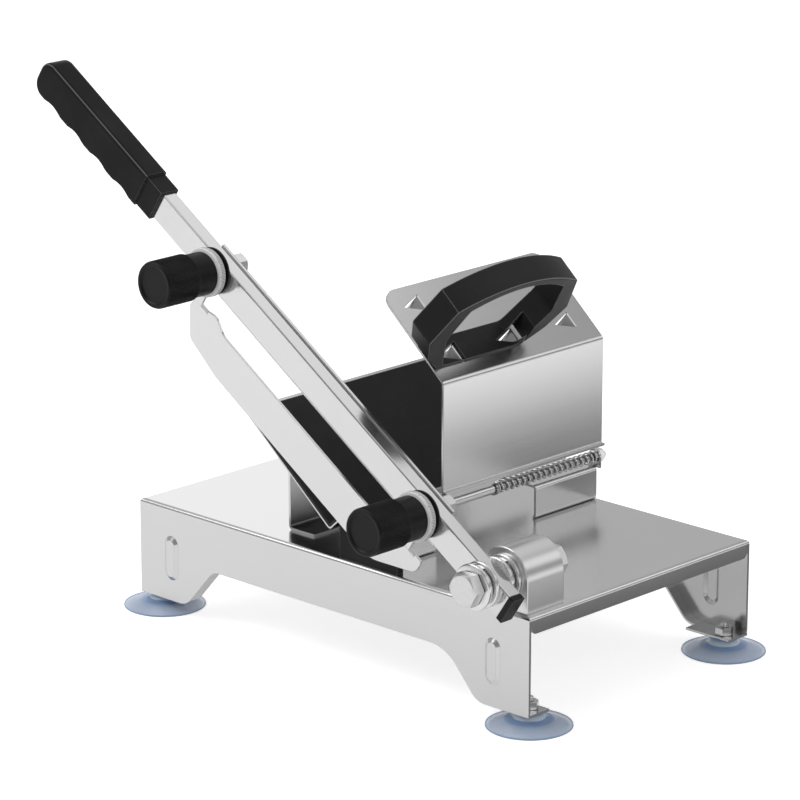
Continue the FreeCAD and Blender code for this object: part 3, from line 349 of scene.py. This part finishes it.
def cut_thread(name, radius, pitch, length, core, place):
    """Screw thread along its own Z: one tooth of the thread wound up by a screw modifier."""
    deselect()
    bpy.ops.mesh.primitive_plane_add(size=pitch, location=(core, 0, 0),
                                     rotation=(math.pi / 2, 0, 0))
    piece = bpy.context.object
    piece.name = name
    apply_place()
    bpy.ops.object.mode_set(mode="EDIT")
    bpy.ops.mesh.select_all(action="SELECT")
    bpy.ops.mesh.delete(type="ONLY_FACE")
    bpy.ops.object.mode_set(mode="OBJECT")
    half_crest = pitch * 0.12
    half_root = pitch * 0.5
    for vertex in piece.data.vertices:
        side = 1 if vertex.co.z > 0 else -1
        out = vertex.co.x > core
        vertex.co.x = radius if out else core
        vertex.co.z = side * (half_crest if out else half_root)
    winding = piece.modifiers.new("winding", "SCREW")
    winding.angle = 2 * math.pi
    winding.screw_offset = pitch
    winding.iterations = int(length / pitch)
    winding.steps = 28
    winding.render_steps = winding.steps
    winding.use_merge_vertices = True
    winding.merge_threshold = 0.00001
    bpy.ops.object.modifier_apply(modifier=winding.name)
    piece.data.transform(place)
    return piece


def join(pieces):
    """One piece from several: the first keeps its name."""
    deselect()
    for piece in pieces:
        piece.select_set(True)
    bpy.context.view_layer.objects.active = pieces[0]
    bpy.ops.object.join()
    return pieces[0]


stud_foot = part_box("cup_studs")[0].z
stud_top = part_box("cup_studs")[1].z
stud_radius = 0.003
stud_pitch = 0.001
stud_core = 0.0024
stud_neck = 0.0150
head_radius = 0.005
head_height = 0.0012
shank_profile = [
    (on_axis, stud_foot), (head_radius - 0.0004, stud_foot), (head_radius, stud_foot + 0.0003),
    (head_radius, stud_foot + head_height), (stud_radius, stud_foot + head_height),
    (stud_radius, stud_neck), (stud_core + 0.00005, stud_neck),
    (stud_core + 0.00005, stud_top - 0.0004), (0.0020, stud_top), (on_axis, stud_top),
]
for number, place in enumerate(cup_places, 1):
    shank = turn_on_lathe("cup_stud_%d" % number, shank_profile, 40, Matrix.Translation(place))
    thread_start = Matrix.Translation(place + Vector((0, 0, stud_neck + 0.0003)))
    thread = cut_thread("thread", stud_radius, stud_pitch, stud_top - stud_neck - 0.0008,
                        stud_core, thread_start)
    settle(join([shank, thread]), "frame", bright_zinc, ["cup_studs"])


# Pivot bracket: thick stainless strap wrapped over a turned boss and welded to the table's front
# corner. It is satin-polished along its length, and carries the big M12 pivot bolt.

def polished_finish(name, tone=0.68, gloss=0.15, lean=0.0):
    """Polished stainless: long faint lines along the piece, soft clouding, and painted shade
    along its sharp edges.
    """
    steel = Finish(name, Metallic=1.0)
    place = steel.place.leaned(lean) if lean else steel.place
    lines = place.stretched(5.0, 1500.0, 1500.0).grain(detail=3.0)
    cloud = place.cells(30.0).grain(detail=3.0)
    plate_tone = (cloud * 0.6 + lines * 0.4).mix(grey(tone - 0.03), grey(tone + 0.05))
    # Painted shade: sharp edges and creases are coloured darker, as thin dark lines.
    edges = steel.edge_line(radius=0.0006)
    steel.paint("Base Color", edges.mix(plate_tone, grey(tone * 0.3)))
    steel.paint("Roughness", lines * 0.04 + cloud * 0.03 + (gloss - 0.03))
    steel.emboss(lines, depth=0.000005, strength=0.2, edge=0.0004)
    return steel


polished_finish("polished_bracket_steel", tone=0.72, gloss=0.30).coat("pivot_bracket")


# Pivot bolt and nut: M12 hexagon bolt with a washer face under the head, run through five flat
# and two spring washers, arm and bracket, with its thread showing past the nut at the rear.

pivot = Vector(joints["arm_swing"]["pos_m"])


def depth_of(name):
    """Where a CAD node begins and ends from front to rear."""
    low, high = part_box(name)
    return low.y, high.y


def hexagon_head(name, flats, height, place):
    """Hexagonal head along its own Z, its top corners turned off."""
    deselect()
    corner = flats / math.sqrt(3)
    bpy.ops.mesh.primitive_cylinder_add(vertices=6, radius=corner, depth=height,
                                        location=(0, 0, height / 2),
                                        rotation=(0, 0, math.radians(30)))
    piece = bpy.context.object
    piece.name = name
    apply_place()
    chamfer_foot = height * 0.84
    top_radius = flats * 0.465
    turning = turn_on_lathe("turning", [
        (on_axis, -0.001), (corner * 1.2, -0.001), (corner * 1.02, chamfer_foot),
        (top_radius, height), (on_axis, height)], 96)
    cutter = piece.modifiers.new("corners", "BOOLEAN")
    cutter.operation = "INTERSECT"
    cutter.solver = "EXACT"
    cutter.object = turning
    bpy.context.view_layer.objects.active = piece
    bpy.ops.object.modifier_apply(modifier=cutter.name)
    bpy.data.objects.remove(turning)
    piece.data.transform(place)
    return piece


def facing_front(y):
    """Place on the pivot's axis: a piece's own Z points to the front, its foot at y."""
    return Matrix.Translation((pivot.x, y, pivot.z)) @ Matrix.Rotation(math.pi / 2, 4, "X")


def facing_back(y, axis=pivot):
    """Place on an axis: a piece's own Z points to the rear, its foot at y."""
    return Matrix.Translation((axis.x, y, axis.z)) @ Matrix.Rotation(-math.pi / 2, 4, "X")


bolt_front, bolt_back = depth_of("pivot_bolt")
bolt_radius = 0.006
bolt_flats = 0.019
bolt_head = 0.008
bolt_pitch = 0.00175
thread_depth = 0.001
thread_length = 0.0115
seat_radius = 0.009
seat_height = 0.0006
head_foot = bolt_front + bolt_head
bolt_length = bolt_back - head_foot
core_radius = bolt_radius - thread_depth
smooth_length = bolt_length - thread_length
bolt_shank = turn_on_lathe("pivot_bolt", [
    (on_axis, 0), (bolt_radius, 0), (bolt_radius, smooth_length), (core_radius, smooth_length),
    (core_radius, bolt_length - 0.001), (core_radius - 0.0008, bolt_length),
    (on_axis, bolt_length)], 56, facing_back(head_foot))
bolt_cap = hexagon_head("cap", bolt_flats, bolt_head - seat_height,
                        facing_front(head_foot - seat_height))
washer_face = turn_on_lathe("washer_face", [
    (on_axis, 0), (seat_radius, 0), (seat_radius, seat_height - 0.0002),
    (seat_radius - 0.0004, seat_height + 0.0001), (on_axis, seat_height + 0.0001)], 72,
    facing_front(head_foot))
bolt_thread = cut_thread("thread", bolt_radius, bolt_pitch, thread_length - 0.0015,
                         core_radius - 0.00005, facing_back(bolt_back - thread_length + 0.0005))
forged_zinc = plated_finish("forged_zinc", tone=0.70, gloss=0.36)
settle(join([bolt_shank, bolt_cap, washer_face, bolt_thread]), "frame",
       forged_zinc, ["pivot_bolt"], angle=20)
forged_zinc.coat("pivot_nut")


# Pivot washers: five stamped flat washers with rolled rims, and two split spring washers wound
# from square wire, whose open turn shows as a dark gap. They are pressed together by the nut.

def radius_of(name):
    """A round CAD node's outer radius."""
    low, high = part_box(name)
    return (high.x - low.x) / 2


washer_zinc = plated_finish("washer_zinc", tone=0.76, gloss=0.27)
washer_radius = radius_of("pivot_flat_washers")
washer_bore = 0.0062
washer_thick = 0.0025
rim_roll = 0.0008
spring_radius = radius_of("pivot_spring_washers")
spring_height = 0.004
spring_section = 0.0021
spring_sweep = math.radians(352)
spring_gap_turn = math.radians(-60)
arm_front, arm_back = depth_of("arm_tube")
boss_front, boss_back = depth_of("pivot_bracket")
washer_profile = [
    (washer_bore, 0), (washer_radius - rim_roll, 0), (washer_radius - 0.0002, 0.0003),
    (washer_radius, rim_roll), (washer_radius, washer_thick - rim_roll),
    (washer_radius - 0.0002, washer_thick - 0.0003), (washer_radius - rim_roll, washer_thick),
    (washer_bore, washer_thick), (washer_bore, 0)]
flat_starts = [arm_front - 2 * washer_thick - spring_height, arm_front - washer_thick, arm_back,
               boss_front - washer_thick, boss_back]
spring_starts = [arm_front - washer_thick - spring_height,
                 boss_front - washer_thick - spring_height]
for number, start in enumerate(flat_starts, 1):
    settle(turn_on_lathe("flat_washer_%d" % number, washer_profile, 96, facing_back(start)),
           "frame", washer_zinc, ["pivot_flat_washers"], angle=50)


def cap_ends():
    """Fills the open ends of the wound piece that is in edit mode."""
    bpy.ops.mesh.select_all(action="DESELECT")
    bpy.ops.mesh.select_non_manifold()
    bpy.ops.mesh.edge_face_add()


def split_washer(name, place):
    """Spring washer along its own Z: a square section wound up for not quite one turn."""
    deselect()
    bpy.ops.mesh.primitive_plane_add(size=1, location=(0, 0, 0), rotation=(math.pi / 2, 0, 0))
    piece = bpy.context.object
    piece.name = name
    apply_place()
    for vertex in piece.data.vertices:
        vertex.co.x = spring_radius if vertex.co.x > 0 else washer_bore
        vertex.co.z = spring_section if vertex.co.z > 0 else 0.0
    soft = piece.modifiers.new("rolled_edges", "BEVEL")
    soft.affect = "VERTICES"
    soft.width = 0.0003
    soft.segments = 2
    bpy.ops.object.modifier_apply(modifier=soft.name)
    winding = piece.modifiers.new("winding", "SCREW")
    winding.angle = spring_sweep
    winding.screw_offset = spring_height - spring_section
    winding.steps = 88
    winding.render_steps = winding.steps
    bpy.ops.object.modifier_apply(modifier=winding.name)
    bpy.ops.object.mode_set(mode="EDIT")
    cap_ends()
    bpy.ops.object.mode_set(mode="OBJECT")
    piece.data.transform(place @ Matrix.Rotation(spring_gap_turn, 4, "Z"))
    return piece


for number, start in enumerate(spring_starts, 1):
    settle(split_washer("spring_washer_%d" % number, facing_back(start)), "frame",
           washer_zinc, ["pivot_spring_washers"], angle=50)


# Feed trough: a V of thin sheet on a bent stand, lined with a black plastic slide, and a plastic
# board beside its mouth that keeps the load from leaning out. Two screws hold the board.

def plastic_finish(name, tone=0.004, gloss=0.42, grain=900.0, lift=0.006, edge=0.0009,
                   wear_and_highlight=0.10, side=None, highlight_band=(0.56, 0.86), shine=0.25):
    """Moulded black plastic: a fine spark-eroded grain, rubbed smoother in patches, paler
    along its edges, partly as wear and partly as a painted highlight, and, where a side is
    given, with a painted highlight on the corners that look that way."""
    plastic = Finish(name, Metallic=0.0, IOR=1.45, Specular_IOR_Level=shine)
    texture = plastic.place.cells(grain).grain(detail=3.0)
    rubbed = plastic.place.cells(38.0).grain(detail=2.0).ramp((0.40, 0.0), (0.70, 1.0))
    moulded = (texture * 0.4 + rubbed * 0.6).mix(grey(tone), grey(tone + lift))
    # Paler edges: partly wear and partly a painted highlight; the corners that look along side
    # get a painted highlight.
    edges = plastic.edge_line(radius=edge)
    if side:
        edges = edges.math("MAXIMUM", edges, plastic.corner_line(side, *highlight_band))
    plastic.paint("Base Color", edges.mix(moulded, grey(tone + wear_and_highlight)))
    plastic.paint("Roughness", texture * 0.12 - rubbed * 0.08 + gloss)
    plastic.emboss(texture, depth=0.00004, strength=0.3, edge=edge * 0.65)
    return plastic


brushed_in_depth = (1400.0, 5.0, 1400.0)
sheet_finish("brushed_trough_steel", along=brushed_in_depth).coat("trough_tray", "trough_stand")
plastic_finish("slide_plastic", gloss=0.30, grain=600.0).coat("trough_liner")
plastic_finish("board_plastic", tone=0.002, lift=0.003).coat("front_board")
bright_zinc.coat("board_screws")


# Guide rod: drawn rod held by nuts in the lugs of two bent brackets, coloured dark as painted
# shade so that it shows dark between the spring's coils. The cover's knuckle turns and slides
# on it, with a plain washer between the knuckle and the spring.

sheet_finish("brushed_bracket_steel", along=brushed_in_depth).coat(
    "rod_bracket_front", "rod_bracket_rear")
# Painted shade: the rod and its washer are coloured dark grey, so the gaps between the spring's
# coils look shaded.
plated_finish("drawn_rod_steel", tone=0.34, gloss=0.16).coat("guide_rod", "slide_washer")
bright_zinc.coat("rod_nuts")


# Return spring: drawn steel wire wound round the rod, with one and a half closed turns at each
# end. It pushes the cover towards the blade.

spring_low, spring_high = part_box("feed_spring")
rod_x = (spring_low.x + spring_high.x) / 2
rod_z = joints["cover_hinge"]["pos_m"][2]
wire = 0.0011
coil_radius = (spring_high.x - spring_low.x - wire) / 2
coil_turns = 18
closed_turns = 1.5
closed_pitch = wire * 1.12


def wind_wire(name, start, turns, rise, turns_before):
    """Part of a coil along Z: a round section carried round by a screw modifier."""
    deselect()
    bpy.ops.mesh.primitive_circle_add(vertices=14, radius=wire / 2,
                                      location=(coil_radius, 0, start),
                                      rotation=(math.pi / 2, 0, 0))
    piece = bpy.context.object
    piece.name = name
    apply_place()
    winding = piece.modifiers.new("winding", "SCREW")
    winding.angle = 2 * math.pi * turns
    winding.screw_offset = rise
    winding.steps = int(32 * turns)
    winding.render_steps = winding.steps
    bpy.ops.object.modifier_apply(modifier=winding.name)
    piece.data.transform(Matrix.Rotation(2 * math.pi * turns_before, 4, "Z"))
    return piece


spring_length = spring_high.y - spring_low.y
closed_rise = closed_pitch * closed_turns
open_rise = spring_length - wire - 2 * closed_rise
return_spring = join([
    wind_wire("return_spring", wire / 2, closed_turns, closed_rise, 0),
    wind_wire("coil", wire / 2 + closed_rise, coil_turns, open_rise, closed_turns),
    wind_wire("coil", spring_length - wire / 2 - closed_rise, closed_turns, closed_rise,
              closed_turns + coil_turns)])
bpy.ops.object.mode_set(mode="EDIT")
bpy.ops.mesh.select_all(action="SELECT")
bpy.ops.mesh.remove_doubles(threshold=0.00002)
cap_ends()
bpy.ops.object.mode_set(mode="OBJECT")
rod_axis = Vector((rod_x, 0, rod_z))
return_spring.data.transform(facing_back(spring_low.y, rod_axis))
spring_wire = plated_finish("spring_wire", tone=0.70, gloss=0.24)
settle(return_spring, "frame", spring_wire, ["feed_spring"], angle=60)
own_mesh(return_spring)


# Press cover: one stainless sheet with a rolled fold, three-cornered teeth punched through and
# bent in to grip the load, and a knuckle welded inside its wall that runs on the guide rod.

sheet_finish("brushed_cover_steel", along=brushed_in_depth, gloss=0.22).coat(
    "press_cover", "cover_knuckle")


# Cover handle: a closed loop of moulded plastic on the sloping plate, screwed from inside, with
# flat outer faces and softened edges painted paler, partly as wear and partly as a painted
# highlight along the outer lower corner of its rim.

# The corners that look this way get a painted highlight.
loop_highlight_side = (0.799, 0.0, -0.602)
plastic_finish("handle_plastic", tone=0.012, gloss=0.36, wear_and_highlight=0.20, side=loop_highlight_side,
               highlight_band=(0.28, 0.84)).coat("cover_handle")
bright_zinc.coat("handle_screws")


# Cutting arm: rectangular stainless tube, polished along its length, that turns on the pivot
# bolt. A plastic plug closes its lower end.

upper_axis = Vector(joints["upper_knob_turn"]["pos_m"])
lower_axis = Vector(joints["lower_knob_turn"]["pos_m"])
knob_places = ((upper_axis, "upper_knob"), (lower_axis, "lower_knob"))
arm_lean = math.atan2(upper_axis.z - pivot.z, pivot.x - upper_axis.x)
polished_finish("polished_arm_steel", lean=-arm_lean).coat("arm_tube")
plug_plastic = plastic_finish("plug_plastic")
plug_plastic.coat("arm_end_plug")


# Blade: ground stainless plate bolted behind the arm, its lower edge bevelled to cut. Two bolts
# with tall hexagon heads hold it and carry the knobs.

polished_finish("ground_blade_steel", tone=0.66, lean=-arm_lean).coat("blade")
bright_zinc.coat("knob_bolts")


# Thickness gauge: brushed stainless sheet below the arm, held by the knobs at its two joggled
# tabs. How far it stands in front of the blade sets the thickness of the cut.

sheet_finish("brushed_gauge_steel", tone=0.70, lean=-arm_lean).coat("thickness_gauge")


# Bushes: turned brass, one pressed in the arm round the pivot bolt and one in each knob, where
# it is the nut that runs on the knob's bolt.

brass = Finish("turned_brass", Metallic=1.0)
brass_lines = brass.place.cells(900.0).grain()
brass.paint("Base Color", brass_lines.mix((0.62, 0.44, 0.18, 1), (0.80, 0.60, 0.30, 1)))
brass.paint("Roughness", brass_lines * 0.15 + 0.18)
brass.emboss(brass_lines, depth=0.00002, strength=0.3)
brass.coat("pivot_bush", "knob_insert_1", "knob_insert_2")


# Grip: black plastic moulded over the arm's end, with a stepped collar, four finger grooves on
# its lower side and softened long edges painted paler, partly as wear and partly as a painted
# highlight on the corners that face front and rear.

# Painted highlight: the corners that look front and rear are coloured paler.
plastic_finish("grip_plastic", tone=0.010, gloss=0.40, wear_and_highlight=0.11, side=(0.0, 1.0, 0.0),
               shine=0.14).coat("arm_handle")


# Adjusting knobs: black plastic, straight-knurled on the gripping half, smooth on the collar,
# with a thin black washer behind each on the arm, its black partly painted shade beside the
# dial ring. They turn on their bolts and move the gauge.

knob_plastic = plastic_finish("knob_plastic", tone=0.002, gloss=0.36, lift=0.003, edge=0.00012,
                              wear_and_highlight=0.035)
# Painted shade: the knob pads are black, partly standing for the shade beside the dial rings.
plug_plastic.coat("knob_pads")
knob_front, knob_back = depth_of("knob_1")
dial_front, dial_back = depth_of("dial_ring_1")
knob_length = knob_back - knob_front
dial_start = dial_front - knob_front
knob_radius = 0.0145
collar_radius = 0.0133
hub_radius = 0.009
rib_count = 84
rib_height = 0.00035
rib_width = 0.00062
rib_top_share = (1, 0.35, 0.985)
rib_foot = knob_radius - rib_height
knurl_start = 0.0012
knurl_length = 0.0245
knurl_end = knurl_start + knurl_length
knob_face = [(on_axis, 0.0010), (0.0108, 0.0010), (0.0112, 0.0008), (0.0118, 0.0001),
             (0.0124, 0.0), (0.0134, 0.0), (0.0139, 0.0003)]
knob_barrel = [(rib_foot, knurl_start - 0.0001), (rib_foot, knurl_end)]
knob_collar = [(0.0140, knurl_end + 0.0004), (collar_radius + 0.0002, knurl_end + 0.0006),
               (collar_radius, knurl_end + 0.0009), (collar_radius, dial_start - 0.0005),
               (collar_radius - 0.0004, dial_start)]
knob_hub = [(hub_radius, dial_start), (hub_radius, knob_length), (on_axis, knob_length)]


def knurl_rib():
    """One raised rib, narrower at its top, lying along the barrel at its +X side."""
    middle = (rib_foot, 0, knurl_start + knurl_length / 2)
    deselect()
    bpy.ops.mesh.primitive_cube_add(size=1, location=middle,
                                    scale=(rib_height * 2, rib_width, knurl_length))
    rib = bpy.context.object
    apply_place()
    bpy.ops.object.mode_set(mode="EDIT")
    bpy.ops.mesh.select_all(action="DESELECT")
    bpy.ops.object.mode_set(mode="OBJECT")
    for face in rib.data.polygons:
        face.select = face.normal.x > 0.9
    bpy.ops.object.mode_set(mode="EDIT")
    bpy.ops.mesh.select_mode(type="FACE")
    bpy.ops.transform.resize(value=rib_top_share, center_override=middle)
    bpy.ops.object.mode_set(mode="OBJECT")
    return rib


for number, (axis, body) in enumerate(knob_places, 1):
    barrel = turn_on_lathe("adjusting_knob_%d" % number,
                           knob_face + knob_barrel + knob_collar + knob_hub, 168)
    ribs = [knurl_rib()]
    for index in range(1, rib_count):
        turn = Matrix.Rotation(2 * math.pi * index / rib_count, 4, "Z")
        ribs.append(again(ribs[0], "rib", turn))
    knob = join([barrel] + ribs)
    knob.data.transform(facing_back(knob_front, axis))
    settle(knob, body, knob_plastic, ["knob_%d" % number], angle=25)


# Dial rings: white plastic rings pressed on the knobs' hubs, with a hundred black graduations
# printed round the rim, every tenth one longer.

white_plastic = Finish("dial_plastic", Metallic=0.0, IOR=1.48)
white_grain = white_plastic.place.cells(700.0).grain()
white_cloud = white_plastic.place.cells(90.0).grain()
white_plastic.paint("Base Color", (white_cloud * 0.7 + white_grain * 0.3).mix(
    grey(0.80), grey(0.92)))
white_plastic.paint("Roughness", white_grain * 0.15 + 0.3)
white_plastic.emboss(white_grain, depth=0.00003, strength=0.3)
dial_ink = Finish("dial_ink", Metallic=0.0)
ink_grain = dial_ink.place.cells(2500.0).grain()
dial_ink.paint("Base Color", ink_grain.mix(grey(0.10), grey(0.30)))
dial_ink.paint("Roughness", ink_grain * 0.2 + 0.5)
dial_radius = 0.015
dial_length = dial_back - dial_front
dial_edge = 0.0006
mark_count = 100
mark_relief = 0.00006
mark_width = 0.00034
short_mark = dial_length * 0.50
long_mark = dial_length * 0.72
dial_profile = [
    (hub_radius, 0), (dial_radius - dial_edge, 0), (dial_radius - 0.0002, 0.0002),
    (dial_radius, dial_edge), (dial_radius, dial_length - dial_edge),
    (dial_radius - 0.0002, dial_length - 0.0002), (dial_radius - dial_edge, dial_length),
    (hub_radius, dial_length), (hub_radius, 0)]
for number, (axis, body) in enumerate(knob_places, 1):
    on_ring = facing_back(dial_front, axis)
    ring = turn_on_lathe("dial_%d" % number, dial_profile, 120, on_ring)
    settle(ring, body, white_plastic, ["dial_ring_%d" % number], angle=30)
    marks = []
    for index in range(mark_count):
        size = long_mark if index % 10 == 0 else short_mark
        deselect()
        bpy.ops.mesh.primitive_cube_add(
            size=1, location=(dial_radius, 0, dial_length - dial_edge - size / 2),
            scale=(mark_relief, mark_width, size))
        mark = bpy.context.object
        apply_place()
        mark.data.transform(Matrix.Rotation(2 * math.pi * index / mark_count, 4, "Z"))
        marks.append(mark)
    graduation = join(marks)
    graduation.name = "graduation_%d" % number
    graduation.data.transform(on_ring)
    settle(graduation, body, dial_ink)


# Studio: a white floor that keeps a soft shadow, a shaded card that only reflections in the steel
# see, a pale world that dims to the right and the front, six soft lamps, and the camera at the
# photograph's angle.

camera_azimuth = math.radians(43.83)
camera_height = math.radians(16.29)
away = Vector((math.sin(camera_azimuth) * math.cos(camera_height),
               -math.cos(camera_azimuth) * math.cos(camera_height), math.sin(camera_height)))
right = Vector((math.cos(camera_azimuth), math.sin(camera_azimuth), 0))
upward = away.cross(right)
table_middle = Vector((0.02573, 0.025, 0))
distance = 2.55058
shift_right = -0.024796
shift_up = 0.141473
camera_data = bpy.data.cameras.new("camera")
camera_data.sensor_width = 36
camera_data.lens = 183.9
camera_data.clip_end = 50
camera = bpy.data.objects.new("camera", camera_data)
bpy.context.scene.collection.objects.link(camera)
camera.matrix_world = Matrix((
    (right.x, upward.x, away.x, 0), (right.y, upward.y, away.y, 0),
    (right.z, upward.z, away.z, 0), (0, 0, 0, 1)))
camera.location = table_middle + right * shift_right + upward * shift_up + away * distance
bpy.context.scene.camera = camera


def bare_paint(name):
    """A material whose tree is empty but for its output."""
    paint = bpy.data.materials.new(name)
    paint.use_nodes = True
    paint.node_tree.nodes.clear()
    paint.node_tree.nodes.new("ShaderNodeOutputMaterial")
    return paint


def surface(paint, shade):
    """Leads a shader to the material's output."""
    paint.node_tree.links.new(shade.socket,
                              paint.node_tree.nodes["Material Output"].inputs["Surface"])


def seen_rays(tree, *kinds):
    """One for the rays that show the background, nought for those that only carry light."""
    path = tree.nodes.new("ShaderNodeLightPath")
    total = Shade(tree, path.outputs["Is Camera Ray"])
    for kind in kinds:
        total = total.math("MAXIMUM", total, Shade(tree, path.outputs[kind]))
    return total


def axes_of(place):
    """The three parts of a place or a direction."""
    parts = place.tree.nodes.new("ShaderNodeSeparateXYZ")
    place.tree.links.new(place.socket, parts.inputs[0])
    return [Shade(place.tree, parts.outputs[axis]) for axis in "XYZ"]


deselect()
bpy.ops.mesh.primitive_plane_add(size=12, location=(0, 0, 0))
floor = bpy.context.object
floor.name = "studio_floor"
floor_paint = bare_paint("studio_white")
camera_rays = seen_rays(floor_paint.node_tree)
rays = seen_rays(floor_paint.node_tree, "Is Glossy Ray", "Is Transmission Ray")
matt = rays.node("ShaderNodeBsdfDiffuse", {"Color": grey(0.86)})
glow = rays.node("ShaderNodeEmission", {"Color": grey(1.0),
                                        "Strength": camera_rays * 0.34 + rays * 0.32})
surface(floor_paint, rays.node("ShaderNodeAddShader", {0: matt, 1: glow}))
floor.data.materials.append(floor_paint)

card_width, card_depth = 0.40, 0.98
card_middle = Vector((0.40, 0.40, 0.0004))
deselect()
bpy.ops.mesh.primitive_plane_add(size=1, location=card_middle)
card = bpy.context.object
card.name = "grey_card"
card.scale = (card_width, card_depth, 1)
apply_place()
card_paint = bare_paint("card_grey")
card_tree = card_paint.node_tree
card_place = Shade(card_tree, card_tree.nodes.new("ShaderNodeTexCoord").outputs["Object"])
from_left = (axes_of(card_place)[0] - (card_middle.x - card_width / 2)) * (1 / card_width)
card_tone = from_left.ramp((0.0, 0.16), (0.25, 0.08), (0.42, 0.20), (0.58, 0.66), (0.74, 1.0),
                           (1.0, 1.0))
surface(card_paint, card_tone.node("ShaderNodeEmission", {"Color": grey(1.0),
                                                          "Strength": card_tone * 1.55}))
card.data.materials.append(card_paint)
card.visible_camera = False
card.visible_diffuse = False
card.visible_transmission = False
card.visible_shadow = False

world = bpy.data.worlds.new("studio")
bpy.context.scene.world = world
world.use_nodes = True
tree = world.node_tree
sky = tree.nodes["Background"]
sky_direction = Shade(tree, tree.nodes.new("ShaderNodeTexCoord").outputs["Generated"])
sideways, backward, height = axes_of(sky_direction)
seen = seen_rays(tree, "Is Transmission Ray")
light = (0.42 - sideways * 0.2 + height * 0.04) * (backward * 0.5 + 0.5).ramp(
    (0.2, 0.7), (0.4, 0.75), (0.6, 1.0))
sky.inputs["Color"].default_value = grey(1.0)
tree.links.new((seen + (1 - seen) * light).socket, sky.inputs["Strength"])


def lamp(name, place, width, height, power, aim=(0, 0, 0.08)):
    """Soft lamp of a width and height in metres and a power in watts, turned to aim."""
    data = bpy.data.lights.new(name, "AREA")
    data.shape = "RECTANGLE"
    data.size = width
    data.size_y = height
    data.energy = power
    piece = bpy.data.objects.new(name, data)
    bpy.context.scene.collection.objects.link(piece)
    piece.location = place
    piece.rotation_euler = (Vector(aim) - Vector(place)).to_track_quat("-Z", "Y").to_euler()


lamp("key_lamp", (-1.2, -1.4, 2.0), 1.6, 1.6, power=16)
lamp("front_lamp", (-0.55, -0.65, 1.2), 1.0, 1.0, power=3, aim=(-0.55, -0.6, 0))
lamp("rear_lamp", (1.1, 1.1, 0.8), 0.8, 0.8, power=1.6, aim=(0.8, 0.85, 0))
lamp("fill_lamp", (1.8, -0.6, 1.2), 1.2, 1.2, power=5)
lamp("rear_panel", (-1.5, 1.0, 0.55), 1.1, 1.0, power=2.2, aim=(-1.5, 0, 0.55))
lamp("ceiling_panel", (0.2, 0.55, 1.25), 1.2, 1.0, power=2.0, aim=(0.2, 0.55, 0))
bpy.context.scene.view_settings.view_transform = "Standard"
